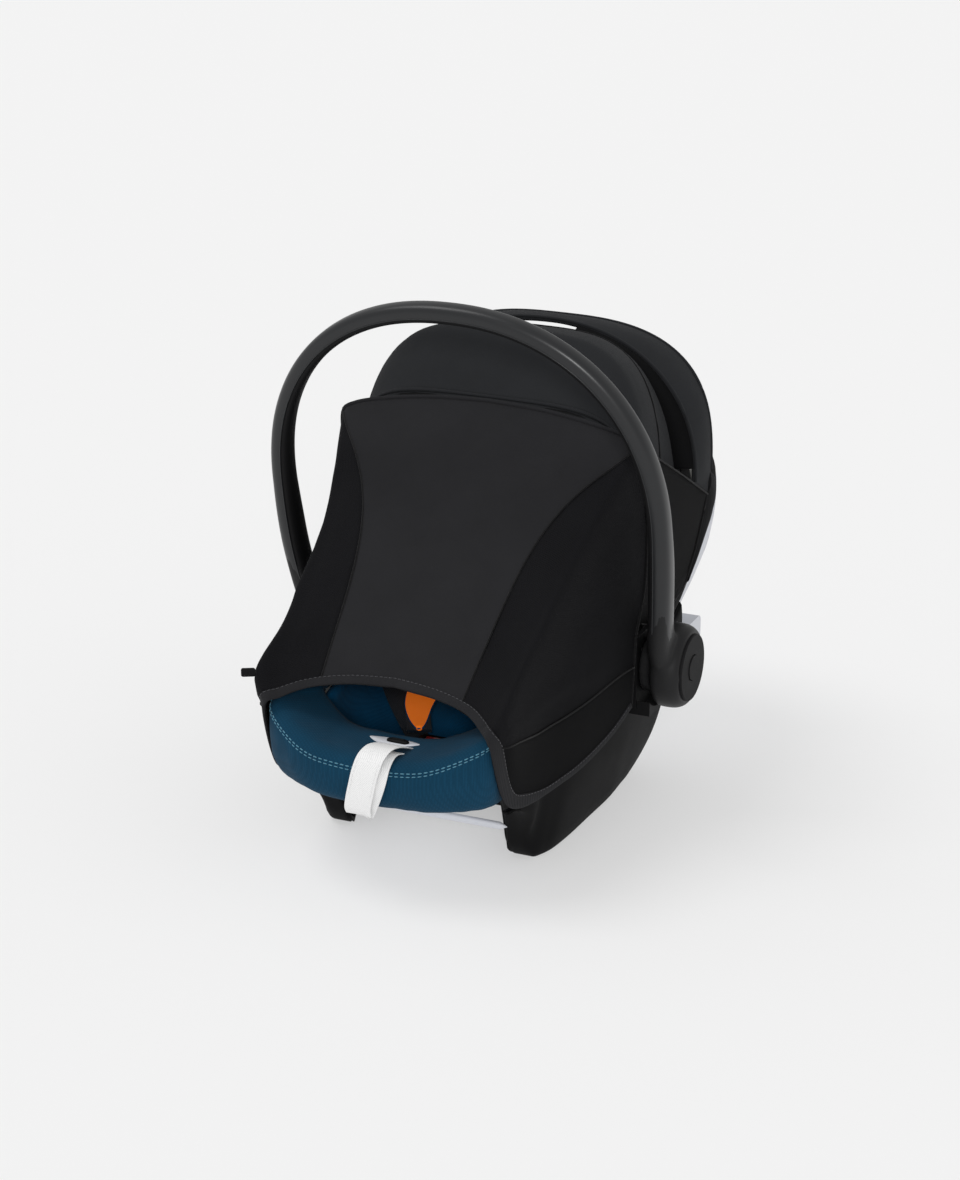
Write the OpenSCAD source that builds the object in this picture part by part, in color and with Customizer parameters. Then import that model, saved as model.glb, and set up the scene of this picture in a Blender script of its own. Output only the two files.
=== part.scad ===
// Infant carrier seat: shell with rocker runners, swing handle, fan canopy and stretch cover.
// Millimetres. +Z up, -Y the foot end, +Y the head end, X across. The origin is on the floor under
// the middle of the seat.

/* [Shell] */
// Half the seat's length over its padded rim
half_length = 318; // [312:1:324]
// Widest half width of the padded rim
half_width = 166; // [162:1:168]
// Height of the rim at the foot end
foot_rim_z = 134; // [128:1:140]
// Height of the rim at the head end
head_rim_z = 318; // [308:1:322]
// Height of the bowl's keel at its lowest
belly_z = 28; // [26:1:32]
// Wall of the moulded shell
shell_wall = 3; // [2.5:0.5:4]
// Thickness of the energy-absorbing foam
foam_wall = 12; // [10:1:14]

/* [Handle] */
// Pivot axis, distance in front of the seat's middle is negative
pivot_y = 7; // [5:1:9]
// Height of the pivot axis
pivot_z = 164; // [162:1:166]
// Height of the bow above the pivot, along its own plane
handle_reach = 395; // [390:1:400]
// Half width over the outside of the bow
handle_half_w = 219; // [217:1:221]
// Lean of the handle towards the foot end at rest, degrees
handle_lean = 11.3; // [10:0.1:12]
// Distance of the bow's plane in front of the pivot
handle_offset = 37; // [34:1:40]
// Radius of the hub drum
hub_r = 44; // [43:0.5:45]
// Radius of the pivot pin
pin_r = 9; // [8:0.5:10]
// Running clearance on the pin's radius
pin_gap = 0.05; // [0.02:0.01:0.1]
// Radius of the release button
button_r = 13; // [12:0.5:14]

/* [Canopy] */
// Height of the canopy's own pivot axis
canopy_z = 190; // [188:1:192]
// Radius of the canopy dome about that axis
canopy_r = 300; // [296:1:302]
// Radius of the front bow about that axis
bow_r = 240; // [236:1:244]

/* [Hidden] */
$fn = 64;

charcoal = [0.2, 0.2, 0.21];
black = [0.12, 0.12, 0.13];
pale = [0.82, 0.83, 0.86];
steel = [0.7, 0.71, 0.73];
blue = [0.11, 0.23, 0.31];
orange = [0.82, 0.43, 0.14];
white = [0.93, 0.93, 0.93];
foam_white = [0.9, 0.9, 0.88];

// ---- curves and lofts -------------------------------------------------------------------------

function mix(a, b, t) = a + (b - a) * t;
function clamp(x, lo, hi) = max(lo, min(hi, x));
function smooth(t) = let(s = clamp(t, 0, 1)) s * s * (3 - 2 * s);
function flip_x(p) = [-p[0], p[1], p[2]];
function backwards(list) = [for (i = [len(list) - 1 : -1 : 0]) list[i]];
function at(p, i) = p[clamp(i, 0, len(p) - 1)];

// Catmull-Rom curve through the points p, t from 0 to 1
function spline(p, t) = let(
    s = t * (len(p) - 1),
    i = min(floor(s), len(p) - 2),
    f = s - i,
    a = at(p, i - 1), b = p[i], c = p[i + 1], d = at(p, i + 2))
    0.5 * (2 * b + (c - a) * f + (2 * a - 5 * b + 4 * c - d) * f * f + (3 * (b - c) + d - a) * f * f * f);

function unit(v) = v / max(norm(v), 1e-9);

// Six times the signed volume of a closed set of faces
function volume6(pts, faces) = sum([for (f = faces) cross(pts[f[0]], pts[f[1]]) * pts[f[2]]]);
function sum(v) = v * [for (x = v) 1];

// Closed solid through rings of equally many points. Each end is closed by a strip that joins the
// ring's first half to its second half, so a ring may be a tube's round or a sheet's thin outline.
module loft(rings) {
    n = len(rings[0]);
    m = len(rings);
    pts = [for (r = rings) each r];
    sides = [for (i = [0 : m - 2], j = [0 : n - 1]) let(
        a = i * n + j, b = i * n + (j + 1) % n, c = a + n, d = b + n)
        each [[a, b, d], [a, d, c]]];
    first = [for (k = [0 : n / 2 - 2]) each [[k, n - 2 - k, k + 1], [k, n - 1 - k, n - 2 - k]]];
    last = [for (f = first) [f[0], f[2], f[1]] + [1, 1, 1] * n * (m - 1)];
    faces = concat(sides, first, last);
    out = volume6(pts, faces) < 0 ? faces : [for (f = faces) backwards(f)];
    polyhedron(points = pts, faces = out, convexity = 6);
}

// Closed solid between an outer grid of points and an inner one
module sheet(outer, inner) {
    loft([for (i = [0 : len(outer) - 1]) concat(outer[i], backwards(inner[i]))]);
}

// Oval tube along a path: r across the path in the horizontal plane, r2 upwards
module tube(path, r, r2, sides = 8) {
    last = len(path) - 1;
    loft([for (i = [0 : last]) let(
        t = unit(path[min(i + 1, last)] - path[max(i - 1, 0)]),
        up = abs(t[2]) > 0.9 ? [0, 1, 0] : [0, 0, 1],
        u = unit(cross(t, up)),
        w = cross(u, t))
        [for (k = [0 : sides - 1]) path[i] + u * r * cos(360 * k / sides) + w * r2 * sin(360 * k / sides)]]);
}

// Flat webbing along a path: its width lies along w, its thickness across both
module webbing(path, width, thick, w = [1, 0, 0]) {
    last = len(path) - 1;
    loft([for (i = [0 : last]) let(
        t = unit(path[min(i + 1, last)] - path[max(i - 1, 0)]),
        side = unit(w - t * (w * t)) * width / 2,
        up = unit(cross(t, side)) * thick / 2)
        [path[i] - side - up, path[i] + side - up, path[i] + side + up, path[i] - side + up]]);
}

// Rounded box standing on z = 0, with upright edges of radius r
module rounded_box(size, r) {
    translate([-size[0] / 2, -size[1] / 2, 0])
        linear_extrude(size[2])
            union() {
                translate([r, 0]) square([size[0] - 2 * r, size[1]]);
                translate([0, r]) square([size[0], size[1] - 2 * r]);
                for (x = [r, size[0] - r], y = [r, size[1] - r])
                    translate([x, y]) circle(r);
            }
}

// A cylinder that runs along +X from x = from to x = to
module along_x(from, to, r, y = 0, z = 0) {
    translate([from, y, z]) rotate([0, 90, 0]) cylinder(h = to - from, r = r);
}

module both_sides() {
    children();
    mirror([1, 0, 0]) children();
}

// ---- the seat's rim and bowl ------------------------------------------------------------------

// Right half of the padded rim from the foot end to the head end
rim_half = [
    [0, -half_length + 2, foot_rim_z],
    [62, -half_length + 6, foot_rim_z + 5],
    [106, -286, foot_rim_z + 22],
    [119, -250, foot_rim_z + 34],
    [131, -190, 170],
    [149, -100, 171],
    [half_width - 2, 0, 176],
    [half_width, 90, 202],
    [half_width - 2, 180, 250],
    [half_width - 8, 248, 288],
    [136, 294, head_rim_z - 8],
    [84, half_length - 5, head_rim_z - 2],
    [0, half_length, head_rim_z]
];

function rim(t) = spline(rim_half, t);

// Height of the bowl's keel on the centre line: flat, bending into a slope up to the foot end
slope_y = -135;
function keel(y) = y < 0
    ? let(d = max(0, slope_y - y)) belly_z + 0.48 * d * d / (d + 30)
    : belly_z + (head_rim_z - belly_z - 18) * pow(y / half_length, 3.2);

// 1 where the padded roll on the rim is deep, beside and behind the head
function rim_deep(y) = smooth((y - 40) / 70) * smooth((300 - y) / 60);

// The shell behind the hubs stands out by up to this much
shell_flare = 13;
function flare(t) = shell_flare * smooth((t - 0.66) / 0.08) * smooth((0.93 - t) / 0.1);

// Point of the bowl: t round the rim from foot to head, s from 0 at the rim to 1 at the keel,
// inset inwards from the padded rim by so many millimetres and standing out by flare at its top
bowl_drop = 15;
function bowl(t, s, inset, flare = 0) = let(
    p = rim(t),
    own = inset - flare * (1 - s),
    fx = 1 - own / half_width,
    fy = 1 - own / half_length,
    r = cos(84 * s),
    spine = p[1] * 0.5 * fy,
    y = spine + (p[1] * fy - spine) * r,
    low = keel(y) + inset * 0.9,
    high = p[2] - bowl_drop - 18 * rim_deep(p[1]))
    [p[0] * fx * r, y, low + (high - low) * (1 - pow(1 - pow(r, 2.5), 1 / 2.5))];

bowl_columns = 22;
bowl_rows = 8;
function bowl_ring(i, inset, flared) = let(
    right = [for (k = [0 : bowl_columns - 1]) let(t = (k + 0.5) / bowl_columns)
        bowl(t, i / bowl_rows, inset, flared ? flare(t) : 0)])
    concat(right, [for (p = backwards(right)) flip_x(p)]);

// Bucket between two insets
module bucket(outer_inset, inner_inset, flared = false) {
    loft(concat(
        [for (i = [bowl_rows : -1 : 0]) bowl_ring(i, outer_inset, flared)],
        [for (i = [0 : bowl_rows]) bowl_ring(i, inner_inset, flared)]));
}

shell_inset = 13;
bar_y = -181;
bar_z = 42;
foam_inset = shell_inset + shell_wall + 1.8;
liner_inset = foam_inset + foam_wall + 1.8;
liner_wall = 8;

module main_shell() {
    color(pale) difference() {
        bucket(shell_inset, shell_inset + shell_wall, true);
        both_sides() protector_hole();
    }
}

// Cross bar between the fronts of the runners
module front_bar() {
    color(pale) translate([0, bar_y, bar_z]) rotate([0, 90, 0])
        translate([0, 0, -92]) rounded_box([6, 8, 184], 2);
}

module energy_foam() {
    color(foam_white) bucket(foam_inset, foam_inset + foam_wall);
}

module seat_liner() {
    color(blue) bucket(liner_inset, liner_inset + liner_wall);
}

// Padded roll on the rim from the bolster's end round the head end
roll_start = 0.33;
module rim_roll() {
    ring_path = [for (k = [0 : 18]) rim(mix(roll_start, 0.995, k / 18))];
    path = concat(ring_path, [for (p = backwards(ring_path)) flip_x(p)]);
    color(black)
        loft([for (p = path) let(
            deep = rim_deep(p[1]),
            c = [p[0] * mix(0.895, 0.93, deep), p[1] * 0.96, p[2] - 1 - 9 * deep],
            out = unit([p[0], p[1] * 0.5, 0]) * mix(12, 15, deep))
            [for (k = [0 : 7]) c + out * cos(45 * k) + [0, 0, mix(10, 19, deep) * sin(45 * k)]]]);
}

// Blue padded bolster wrapped over the foot end of the rim, broad and sloping inwards in the middle
bolster_low = 100;
bolster_reach = 86;
module front_bolster() {
    side = [for (k = [0 : 9]) rim(mix(0.02, roll_start - 0.012, k / 9))];
    path = concat(backwards([for (p = side) flip_x(p)]), side);
    color(blue)
        loft([for (p = path) let(
            n = unit([p[0] * 0.35, p[1] + 160, 0]),
            reach = mix(34, bolster_reach, pow(n[1], 4)),
            low = bolster_low - p[2])
            [
                p + n * -5 + [0, 0, low + 3],
                p + n * -1 + [0, 0, low * 0.4],
                p + n * -1 + [0, 0, 6],
                p + n * -4 + [0, 0, 13],
                p + n * -20 + [0, 0, 16],
                p + n * -reach + [0, 0, 6],
                p + n * -reach + [0, 0, -2],
                p + n * -25 + [0, 0, -7],
                p + n * -6.5 + [0, 0, -9],
                p + n * -6.5 + [0, 0, low]
            ]]);
}

// ---- charcoal side panels with the rocker runners ---------------------------------------------

// Lower edge of the right panel, from under the bolster down the front of the foot, along the floor
// and up behind
runner_edge = [
    [114, -214, 90],
    [111, -196, 66],
    [111, -180, 40],
    [113, -167, 14],
    [118, -153, 0],
    [125, -134, 0],
    [129, -98, 0],
    [131, -50, 0],
    [133, 5, 0],
    [131, 52, 0],
    [135, 92, 16],
    [142, 112, 42],
    [148, 122, 78],
    [152, 126, 120]
];
panel_t0 = 0.26;
panel_t1 = 0.613;
panel_wall = 3;
flange_w = 27;

function edge_point(f) = let(p = spline(runner_edge, f)) [p[0], p[1], max(p[2], 0)];

// One station of the right side panel at f from 0 to 1: floor flange, then the wall up to the rim
function panel_row(f, in) = let(
    low = edge_point(f),
    top = rim(mix(panel_t0, panel_t1, f)),
    under = 1 - smooth((mix(panel_t0, panel_t1, f) - 0.318) / 0.03),
    high = [top[0] + 0.5, mix(low[1], top[1], 0.9),
        top[2] - 9 - 25 * rim_deep(top[1]) - (top[2] + 6 - bolster_low) * under],
    w = mix(12, flange_w, smooth(f / 0.36)) * (1 - 0.6 * smooth((f - 0.6) / 0.4)))
    concat(
        [[low[0] - w, low[1], low[2] + in]],
        [[low[0] - 5, low[1], low[2] + in]],
        [for (s = [0.03, 0.2, 0.45, 0.7, 1])
            mix(low, high, s) + [6 * sin(180 * s) - in * 1.0, 0, s < 0.1 ? in * 0.5 + 3 : 0]]);

module side_panel() {
    stations = 24;
    sheet(
        [for (i = [0 : stations]) panel_row(i / stations, 0)],
        [for (i = [0 : stations]) panel_row(i / stations, panel_wall)]);
}

module side_panel_right() {
    color(charcoal) difference() {
        side_panel();
        translate([158, pivot_y - 31, pedestal_low - 1]) cube([20, 62, 32]);
        translate([plate_x - 1, pivot_y - 35, pedestal_low + 7]) cube([20, 70, 80]);
    }
}

module side_panel_left() {
    mirror([1, 0, 0]) side_panel_right();
}

// ---- lower parts and belt guides --------------------------------------------------------------

tray_half_w = 82;
hook_y = [-78, 78];
hook_slot = 16;
module belly_tray() {
    color(charcoal) difference() {
        translate([0, 0, 20]) rounded_box([2 * tray_half_w, 190, 18], 14);
        translate([0, 0, 23]) rounded_box([2 * tray_half_w - 8, 182, 20], 10);
        for (y = hook_y)
            translate([-60, y - hook_slot / 2, 0]) cube([120, hook_slot, 40]);
    }
}

// Hooks that catch the bars of a vehicle base, one pair, sliding together along Y
module base_hooks() {
    color(steel) for (x = [-40, 40], y = hook_y)
        translate([x - 4, y - 5, 22]) {
            cube([8, 4, 12]);
            translate([0, 0, 8]) cube([8, 9, 4]);
        }
}

// Lever of the base hooks, lying on the shell's sloping back
lever_at = [0, 274.5, 221.5];
lever_tilt = -26;
module base_lever() {
    color(charcoal) translate(lever_at) rotate([lever_tilt, 0, 0]) translate([0, 0, -11])
        rounded_box([70, 12, 22], 4);
}

module belt_guide_side() {
    color(blue) translate([141, -52, 182.5]) rotate([2, 0, 0]) difference() {
        translate([0, -26, 0]) cube([7, 52, 18]);
        translate([-2, -16, 7]) cube([12, 32, 8]);
    }
}
module belt_guide_right() { belt_guide_side(); }
module belt_guide_left() { mirror([1, 0, 0]) belt_guide_side(); }

module belt_guide_rear() {
    color(blue) translate([0, 293, 262]) difference() {
        translate([-34, 0, 0]) cube([68, 11, 10]);
        translate([-26, -1, 3]) cube([52, 8, 4]);
    }
}

// ---- pivots, hubs and release buttons ---------------------------------------------------------

plate_x = 167;      // outer face of the seat's side under the hub
hub_in = 172.3;
hub_out = 218;
cap_out = 221;
button_out = 222;
web_in = 190;
web_out = 199;
cap_r = 35;
button_travel = 4;
socket_size = [7, 30, 26];
pedestal_low = 115;

module pedestal() {
    color(black) difference() {
        union() {
            translate([plate_x, pivot_y - 34, pedestal_low + 8]) cube([5, 68, 78]);
            translate([162, pivot_y - 30, pedestal_low]) cube([23.5, 60, 30]);
        }
        along_x(172, 190, hub_r + 1, pivot_y, pivot_z);
        along_x(160, 180, pin_r, pivot_y, pivot_z);
        translate([164, pivot_y - 15, pedestal_low - 1]) cube(socket_size);
        for (a = [45 : 90 : 315])
            along_x(160, 180, 2, pivot_y + 27 * cos(a), pivot_z + 27 * sin(a));
    }
}
module pedestal_right() { pedestal(); }
module pedestal_left() { mirror([1, 0, 0]) pedestal(); }

module pedestal_screws() {
    color(steel) both_sides() for (a = [45 : 90 : 315])
        along_x(plate_x - 0.5, 172, 2, pivot_y + 27 * cos(a), pivot_z + 27 * sin(a));
}

module pivot_pin() {
    color(steel) along_x(plate_x, web_out + 1, pin_r, pivot_y, pivot_z);
}
module pivot_pin_right() { pivot_pin(); }
module pivot_pin_left() { mirror([1, 0, 0]) pivot_pin(); }

// Toothed disc about the pivot axis
module toothed(x0, x1, r_in, r_out, teeth) {
    difference() {
        along_x(x0, x1, r_out, pivot_y, pivot_z);
        along_x(x0 - 1, x1 + 1, r_in, pivot_y, pivot_z);
        for (i = [0 : teeth - 1])
            translate([x0 - 1, pivot_y, pivot_z]) rotate([360 * i / teeth, 0, 0])
                translate([0, r_out - 3, -1.6]) cube([x1 - x0 + 2, 4, 3.2]);
    }
}

module lock_gear() {
    color(steel) toothed(172, 177.5, pin_r, 23, 18);
}
module lock_gear_right() { lock_gear(); }
module lock_gear_left() { mirror([1, 0, 0]) lock_gear(); }

leg_ring_r = 19;
module lock_ring() {
    color(steel) {
        toothed(182.5, 188.5, pin_r + 4, 27, 18);
        for (a = [90 : 120 : 330])
            along_x(188, 210, 2, pivot_y + leg_ring_r * cos(a), pivot_z + leg_ring_r * sin(a));
    }
}
module lock_ring_right() { lock_ring(); }
module lock_ring_left() { mirror([1, 0, 0]) lock_ring(); }

// Neck that carries the leg of the bow in front of the drum
module neck() {
    translate([184, pivot_y, pivot_z]) rotate([90, 0, 90])
        linear_extrude(26) polygon([[-43, -9], [-52, 14], [-58, 38], [-27, 42], [-14, 41.7], [-20, 10]]);
}

module hub() {
    color(charcoal) difference() {
        union() {
            along_x(hub_in, hub_out - 4, hub_r, pivot_y, pivot_z);
            along_x(hub_in, hub_out, hub_r - 4, pivot_y, pivot_z);
            translate([hub_out - 4, pivot_y, pivot_z]) rotate([0, 90, 0])
                rotate_extrude() translate([hub_r - 4, 0]) circle(4);
            neck();
        }
        along_x(hub_in - 1, hub_out + 1, pin_r + pin_gap, pivot_y, pivot_z);
        along_x(hub_in - 1, web_in, 29, pivot_y, pivot_z);
        along_x(web_out, hub_out + 1, cap_r - 2, pivot_y, pivot_z);
        along_x(hub_out - 2, hub_out + 6, cap_r + 0.3, pivot_y, pivot_z);
        for (a = [90 : 120 : 330])
            along_x(web_in - 1, web_out + 1, 2.4,
                pivot_y + leg_ring_r * cos(a), pivot_z + leg_ring_r * sin(a));
        for (a = [30 : 120 : 270])
            along_x(web_in - 1, web_out + 1, 2,
                pivot_y + 25 * cos(a), pivot_z + 25 * sin(a));
    }
}
module hub_right() { hub(); }
module hub_left() { mirror([1, 0, 0]) hub(); }

module hub_screws() {
    color(steel) both_sides() for (a = [30 : 120 : 270])
        along_x(web_in + 0.5, web_out + 2.5, 2, pivot_y + 25 * cos(a), pivot_z + 25 * sin(a));
}

module hub_cap() {
    color(charcoal) difference() {
        along_x(hub_out - 2, cap_out, cap_r, pivot_y, pivot_z);
        along_x(hub_out - 3, cap_out + 1, button_r + 0.3, pivot_y, pivot_z);
    }
}
module hub_cap_right() { hub_cap(); }
module hub_cap_left() { mirror([1, 0, 0]) hub_cap(); }

module button() {
    color(charcoal) {
        along_x(213, button_out, button_r, pivot_y, pivot_z);
        along_x(210, 213, leg_ring_r + 4, pivot_y, pivot_z);
    }
}
module button_right() { button(); }
module button_left() { mirror([1, 0, 0]) button(); }

module button_spring() {
    turns = 4;
    steps = 56;
    color(steel) loft([for (i = [0 : steps]) let(a = 360 * turns * i / steps)
        [for (k = [0 : 5]) let(r = 12.5 + 0.7 * cos(60 * k)) [
            mix(web_out + 1.2, 209.2, i / steps) + 0.7 * sin(60 * k),
            pivot_y + r * cos(a),
            pivot_z + r * sin(a)]]]);
}
module button_spring_right() { button_spring(); }
module button_spring_left() { mirror([1, 0, 0]) button_spring(); }

// ---- handle -----------------------------------------------------------------------------------

bow_x = handle_half_w - 12;
bow_top = handle_reach - 11;
bow_wide = 170;     // height at which the bow is widest
leg_foot = 30;      // the legs start inside the hubs
leg_x = bow_x - 8.5;
leg_bend = 110;     // below this the legs sweep back into the hubs
leg_sweep = 14;
bow_n = 2.2;

// Centre line of the bow in its own plane, u from 0 at the right hub to 1 at the left
function bow_line(u) = u < 0.25
    ? let(q = mix(leg_foot, bow_wide, u / 0.25))
        [bow_x - (bow_x - leg_x) * pow((bow_wide - q) / (bow_wide - 40), 2), q]
    : u > 0.75
        ? let(p = bow_line(1 - u)) [-p[0], p[1]]
        : let(a = 180 * (u - 0.25) / 0.5)
            [bow_x * sign(cos(a)) * pow(abs(cos(a)), 2 / bow_n),
             bow_wide + (bow_top - bow_wide) * pow(sin(a), 2 / bow_n)];

// A point of the bow's plane in space: q up the plane, deep through it
function bow_place(x, q, deep) = [
    x,
    pivot_y - handle_offset - q * sin(handle_lean) + deep * cos(handle_lean)
        + leg_sweep * pow(max(0, 1 - q / leg_bend), 2),
    pivot_z + q * cos(handle_lean) + deep * sin(handle_lean)];

// Half of the bow's hollow section: side = 1 the outer moulding, -1 the inner one
function bow_ring(u, side, wall) = let(
    p = bow_line(u),
    t = unit(bow_line(min(u + 0.01, 1)) - bow_line(max(u - 0.01, 0))),
    top = smooth(sin(180 * clamp((u - 0.15) / 0.7, 0, 1))),
    a = mix(12, 10, top) - wall,
    b = mix(15.5, 11.5, top) - wall)
    [for (k = [0 : 6]) let(
        c = cos(-86 + 172 * k / 6),
        s = sin(-86 + 172 * k / 6),
        out = side * a * pow(abs(c), 0.7),
        deep = b * sign(s) * pow(abs(s), 0.7))
        bow_place(p[0] + t[1] * out, p[1] - t[0] * out, deep)];

module handle_half(side) {
    stations = 56;
    sheet(
        [for (i = [0 : stations]) bow_ring(i / stations, side, 0)],
        [for (i = [0 : stations]) bow_ring(i / stations, side, 2.6)]);
}
module handle_outer() { color(charcoal) handle_half(1); }
module handle_inner() { color(black) handle_half(-1); }

// ---- canopy -----------------------------------------------------------------------------------

canopy_y = 20;
front_angle = -6.7;
brow_angle = 6;
fold_end = 45;
rear_angle = 64;
canopy_w = 163;

// Radius of the dome in the fan plane at the given angle back from upright
function dome_r(a) = mix(bow_r, canopy_r, smooth((a - front_angle) / (brow_angle - front_angle)));
function dome_n(a) = a < brow_angle
    ? mix(5, 4, (a - front_angle) / (brow_angle - front_angle))
    : mix(4, 3.2, smooth((a - brow_angle) / 20));

// Point on the dome: a the fan angle, c from 0 at the right hinge to 180 at the left
function dome(a, c, in) = let(
    n = dome_n(a),
    x = (canopy_w - in) * sign(cos(c)) * pow(abs(cos(c)), 2 / n),
    r = (dome_r(a) - in) * pow(abs(sin(c)), 2 / n))
    [x, canopy_y + r * sin(a), canopy_z + r * cos(a)];

// One fan-wise row of the dome from hinge to hinge
hinge_c = 0.6;
function dome_row(a, in) = [for (k = [0 : 30]) dome(a, mix(hinge_c, 180 - hinge_c, k / 30), in)];

// Stretch of the dome between two fan angles
module dome_sheet(a0, a1, wall, rows) {
    sheet(
        [for (i = [0 : rows]) dome_row(mix(a0, a1, i / rows), 0)],
        [for (i = [0 : rows]) dome_row(mix(a0, a1, i / rows), wall)]);
}

module canopy_visor() { color(black) dome_sheet(front_angle + 2.2, fold_end - 0.4, 2, 10); }
module canopy_rear() { color(black) dome_sheet(fold_end, rear_angle, 2.5, 5); }

// Wire bow of radius r in the fan plane at angle a, inside the dome by in
module bow_wire(a, r, in) {
    color(steel) loft([for (k = [0 : 30]) let(
        c = mix(hinge_c, 180 - hinge_c, k / 30),
        p = dome(a, c, in),
        t = unit(dome(a, c + 0.5, in) - dome(a, c - 0.5, in)),
        o = [0, cos(a), -sin(a)],
        n = cross(t, o))
        [for (j = [0 : 5]) p + o * r * cos(60 * j) + n * r * sin(60 * j)]]);
}
module canopy_front_bow() { bow_wire(front_angle, 2.5, 4); }
module canopy_mid_bow() { bow_wire(18, 2, 6); }

module canopy_discs() {
    color(charcoal) both_sides() along_x(159.5, 162.5, 10, canopy_y, canopy_z);
}

// Hoop that stands proud of the dome behind the visor
hoop_low = 318;
hoop_front = 138;
hoop_back = 188;
function hoop_point(f, c, in) = let(
    n = mix(2.2, 2.9, f),
    w = 172 - in,
    h = mix(159, 151, f) - in)
    [w * sign(cos(c)) * pow(abs(cos(c)), 2 / n),
     mix(hoop_front, hoop_back, f),
     hoop_low + h * pow(abs(sin(c)), 2 / n)];
module canopy_hoop() {
    cols = 30;
    color(charcoal) sheet(
        [for (i = [0 : 4]) [for (k = [0 : cols]) hoop_point(i / 4, 180 * k / cols, 0)]],
        [for (i = [0 : 4]) [for (k = [0 : cols]) hoop_point(i / 4, 180 * k / cols, 5)]]);
}

// ---- stretch cover ----------------------------------------------------------------------------

// Upper edge on the front bow, then down the bow's side to the hinge
cover_top_front = [[0, -12, 428], [60, -12, 425], [115, -12, 417], [150, -11, 408], [165, -11, 396]];
cover_top_side = [[165, -11, 396], [168.5, -12, 360], [169.5, -15, 300], [170, -20, 240], [170, -28, 200]];
// Upper edge of the foot opening, then down its side and back along the runner
cover_low_front = [[0, -240, 200], [45, -246, 198], [83, -256, 192], [107, -273, 184], [119, -279, 170]];
cover_low_side = [[119, -279, 170], [128, -250, 98], [149, -160, 95], [163, -85, 109], [170, -36, 128]];
cover_pull = 6;
cover_heart = [0, -30, 190];
cover_wall = 1.6;

// b from 0 at the middle to 1 at the corner and 2 at the hinge, v from 0 at the top to 1 at the hem
function cover_point(b, v, in) = let(
    hi = b < 1 ? spline(cover_top_front, b) : spline(cover_top_side, b - 1),
    lo = b < 1 ? spline(cover_low_front, b) : spline(cover_low_side, b - 1),
    p = mix(hi, lo, v),
    pull = cover_pull * 4 * v * (1 - v) * (b < 1 ? 1 : 1 - smooth(2 * (b - 1))))
    p + unit(cover_heart - p) * (pull + in);

// Seam between the middle panel and the side panel, as b at v
function seam_b(v) = 0.44 + 0.56 * pow(1 - v, 5);

cover_rows = 14;

// Rows of the cover from b0 to b1, from the upper edge to the hem
function centre_row(v, in) = let(
    right = [for (k = [0 : 16]) cover_point(seam_b(v) * k / 16, v, in)])
    concat(backwards([for (k = [1 : 16]) flip_x(right[k])]), right);
function side_row(v, in) = [for (k = [0 : 18]) cover_point(mix(seam_b(v), 2, k / 18), v, in)];

module cover_centre() {
    color(black) sheet(
        [for (i = [0 : cover_rows]) centre_row(i / cover_rows, 0)],
        [for (i = [0 : cover_rows]) centre_row(i / cover_rows, cover_wall)]);
}

module cover_side() {
    color(black) sheet(
        [for (i = [0 : cover_rows]) side_row(i / cover_rows, 0)],
        [for (i = [0 : cover_rows]) side_row(i / cover_rows, cover_wall)]);
}
module cover_side_right() { cover_side(); }
module cover_side_left() { mirror([1, 0, 0]) cover_side(); }

module cover_hem() {
    half = concat(
        [for (k = [0 : 8]) cover_point(k / 8, 1, 0)],
        [for (k = [1 : 14]) cover_point(1 + k / 14, 1, 0)]);
    path = concat(backwards([for (p = half) flip_x(p)]), [for (i = [1 : len(half) - 1]) half[i]]);
    color(black) tube([for (p = path) p + unit([p[0], p[1] + 60, 0]) * 2.9], 2, 3.5, 6);
}

module cover_tag() {
    color(black) translate([-139, -287, 190]) rotate([0, 0, 28]) cube([12, 1.5, 10]);
}

// ---- side impact protectors -------------------------------------------------------------------

protector_y = 151;
protector_z = 143;
protector_size = [19, 44, 28];
module protector_hole() {
    translate([140, protector_y - protector_size[1] / 2 - 1, protector_z - protector_size[2] / 2 - 1])
        cube([60, protector_size[1] + 2, protector_size[2] + 2]);
}
module protector() {
    color(pale) translate([152, protector_y, protector_z]) rotate([0, 90, 0])
        rounded_box([protector_size[2], protector_size[1], protector_size[0]], 7);
}
module protector_right() { protector(); }
module protector_left() { mirror([1, 0, 0]) protector(); }

// ---- headrest, inlay and harness --------------------------------------------------------------

head_at = [0, 128, 142];
head_tilt = 40;
module on_back() { translate(head_at) rotate([head_tilt, 0, 0]) children(); }

module headrest_shell() {
    color(pale) on_back() {
        difference() {
            translate([0, 10, -4]) rounded_box([150, 110, 4], 18);
            for (x = [-34, 34])
                translate([x - 20, -30, -6]) cube([40, 8, 10]);
        }
    }
}

// Cushion from rings along Y: each row is [y, half width, half height, z]
module pad(rows, sides = 16, n = 2.6) {
    loft([for (r = rows) [for (k = [0 : sides - 1]) let(c = cos(360 * k / sides), s = sin(360 * k / sides))
        [r[1] * sign(c) * pow(abs(c), 2 / n), r[0], r[3] + r[2] * sign(s) * pow(abs(s), 2 / n)]]]);
}

module headrest_pad() {
    color(blue) on_back() {
        pad([[-46, 50, 4, 8], [-38, 72, 8, 9.5], [0, 80, 9.5, 10.5], [40, 80, 9.5, 10.5], [58, 66, 8, 9.5], [66, 44, 4, 8]]);
    }
}

module newborn_inlay() {
    color(blue) pad([[-174, 32, 3, 88], [-164, 46, 5, 85.5], [-120, 62, 8, 83], [-50, 78, 12, 86.5], [20, 82, 13, 88.5],
        [62, 76, 10, 98], [76, 60, 4, 105]]);
}

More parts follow.
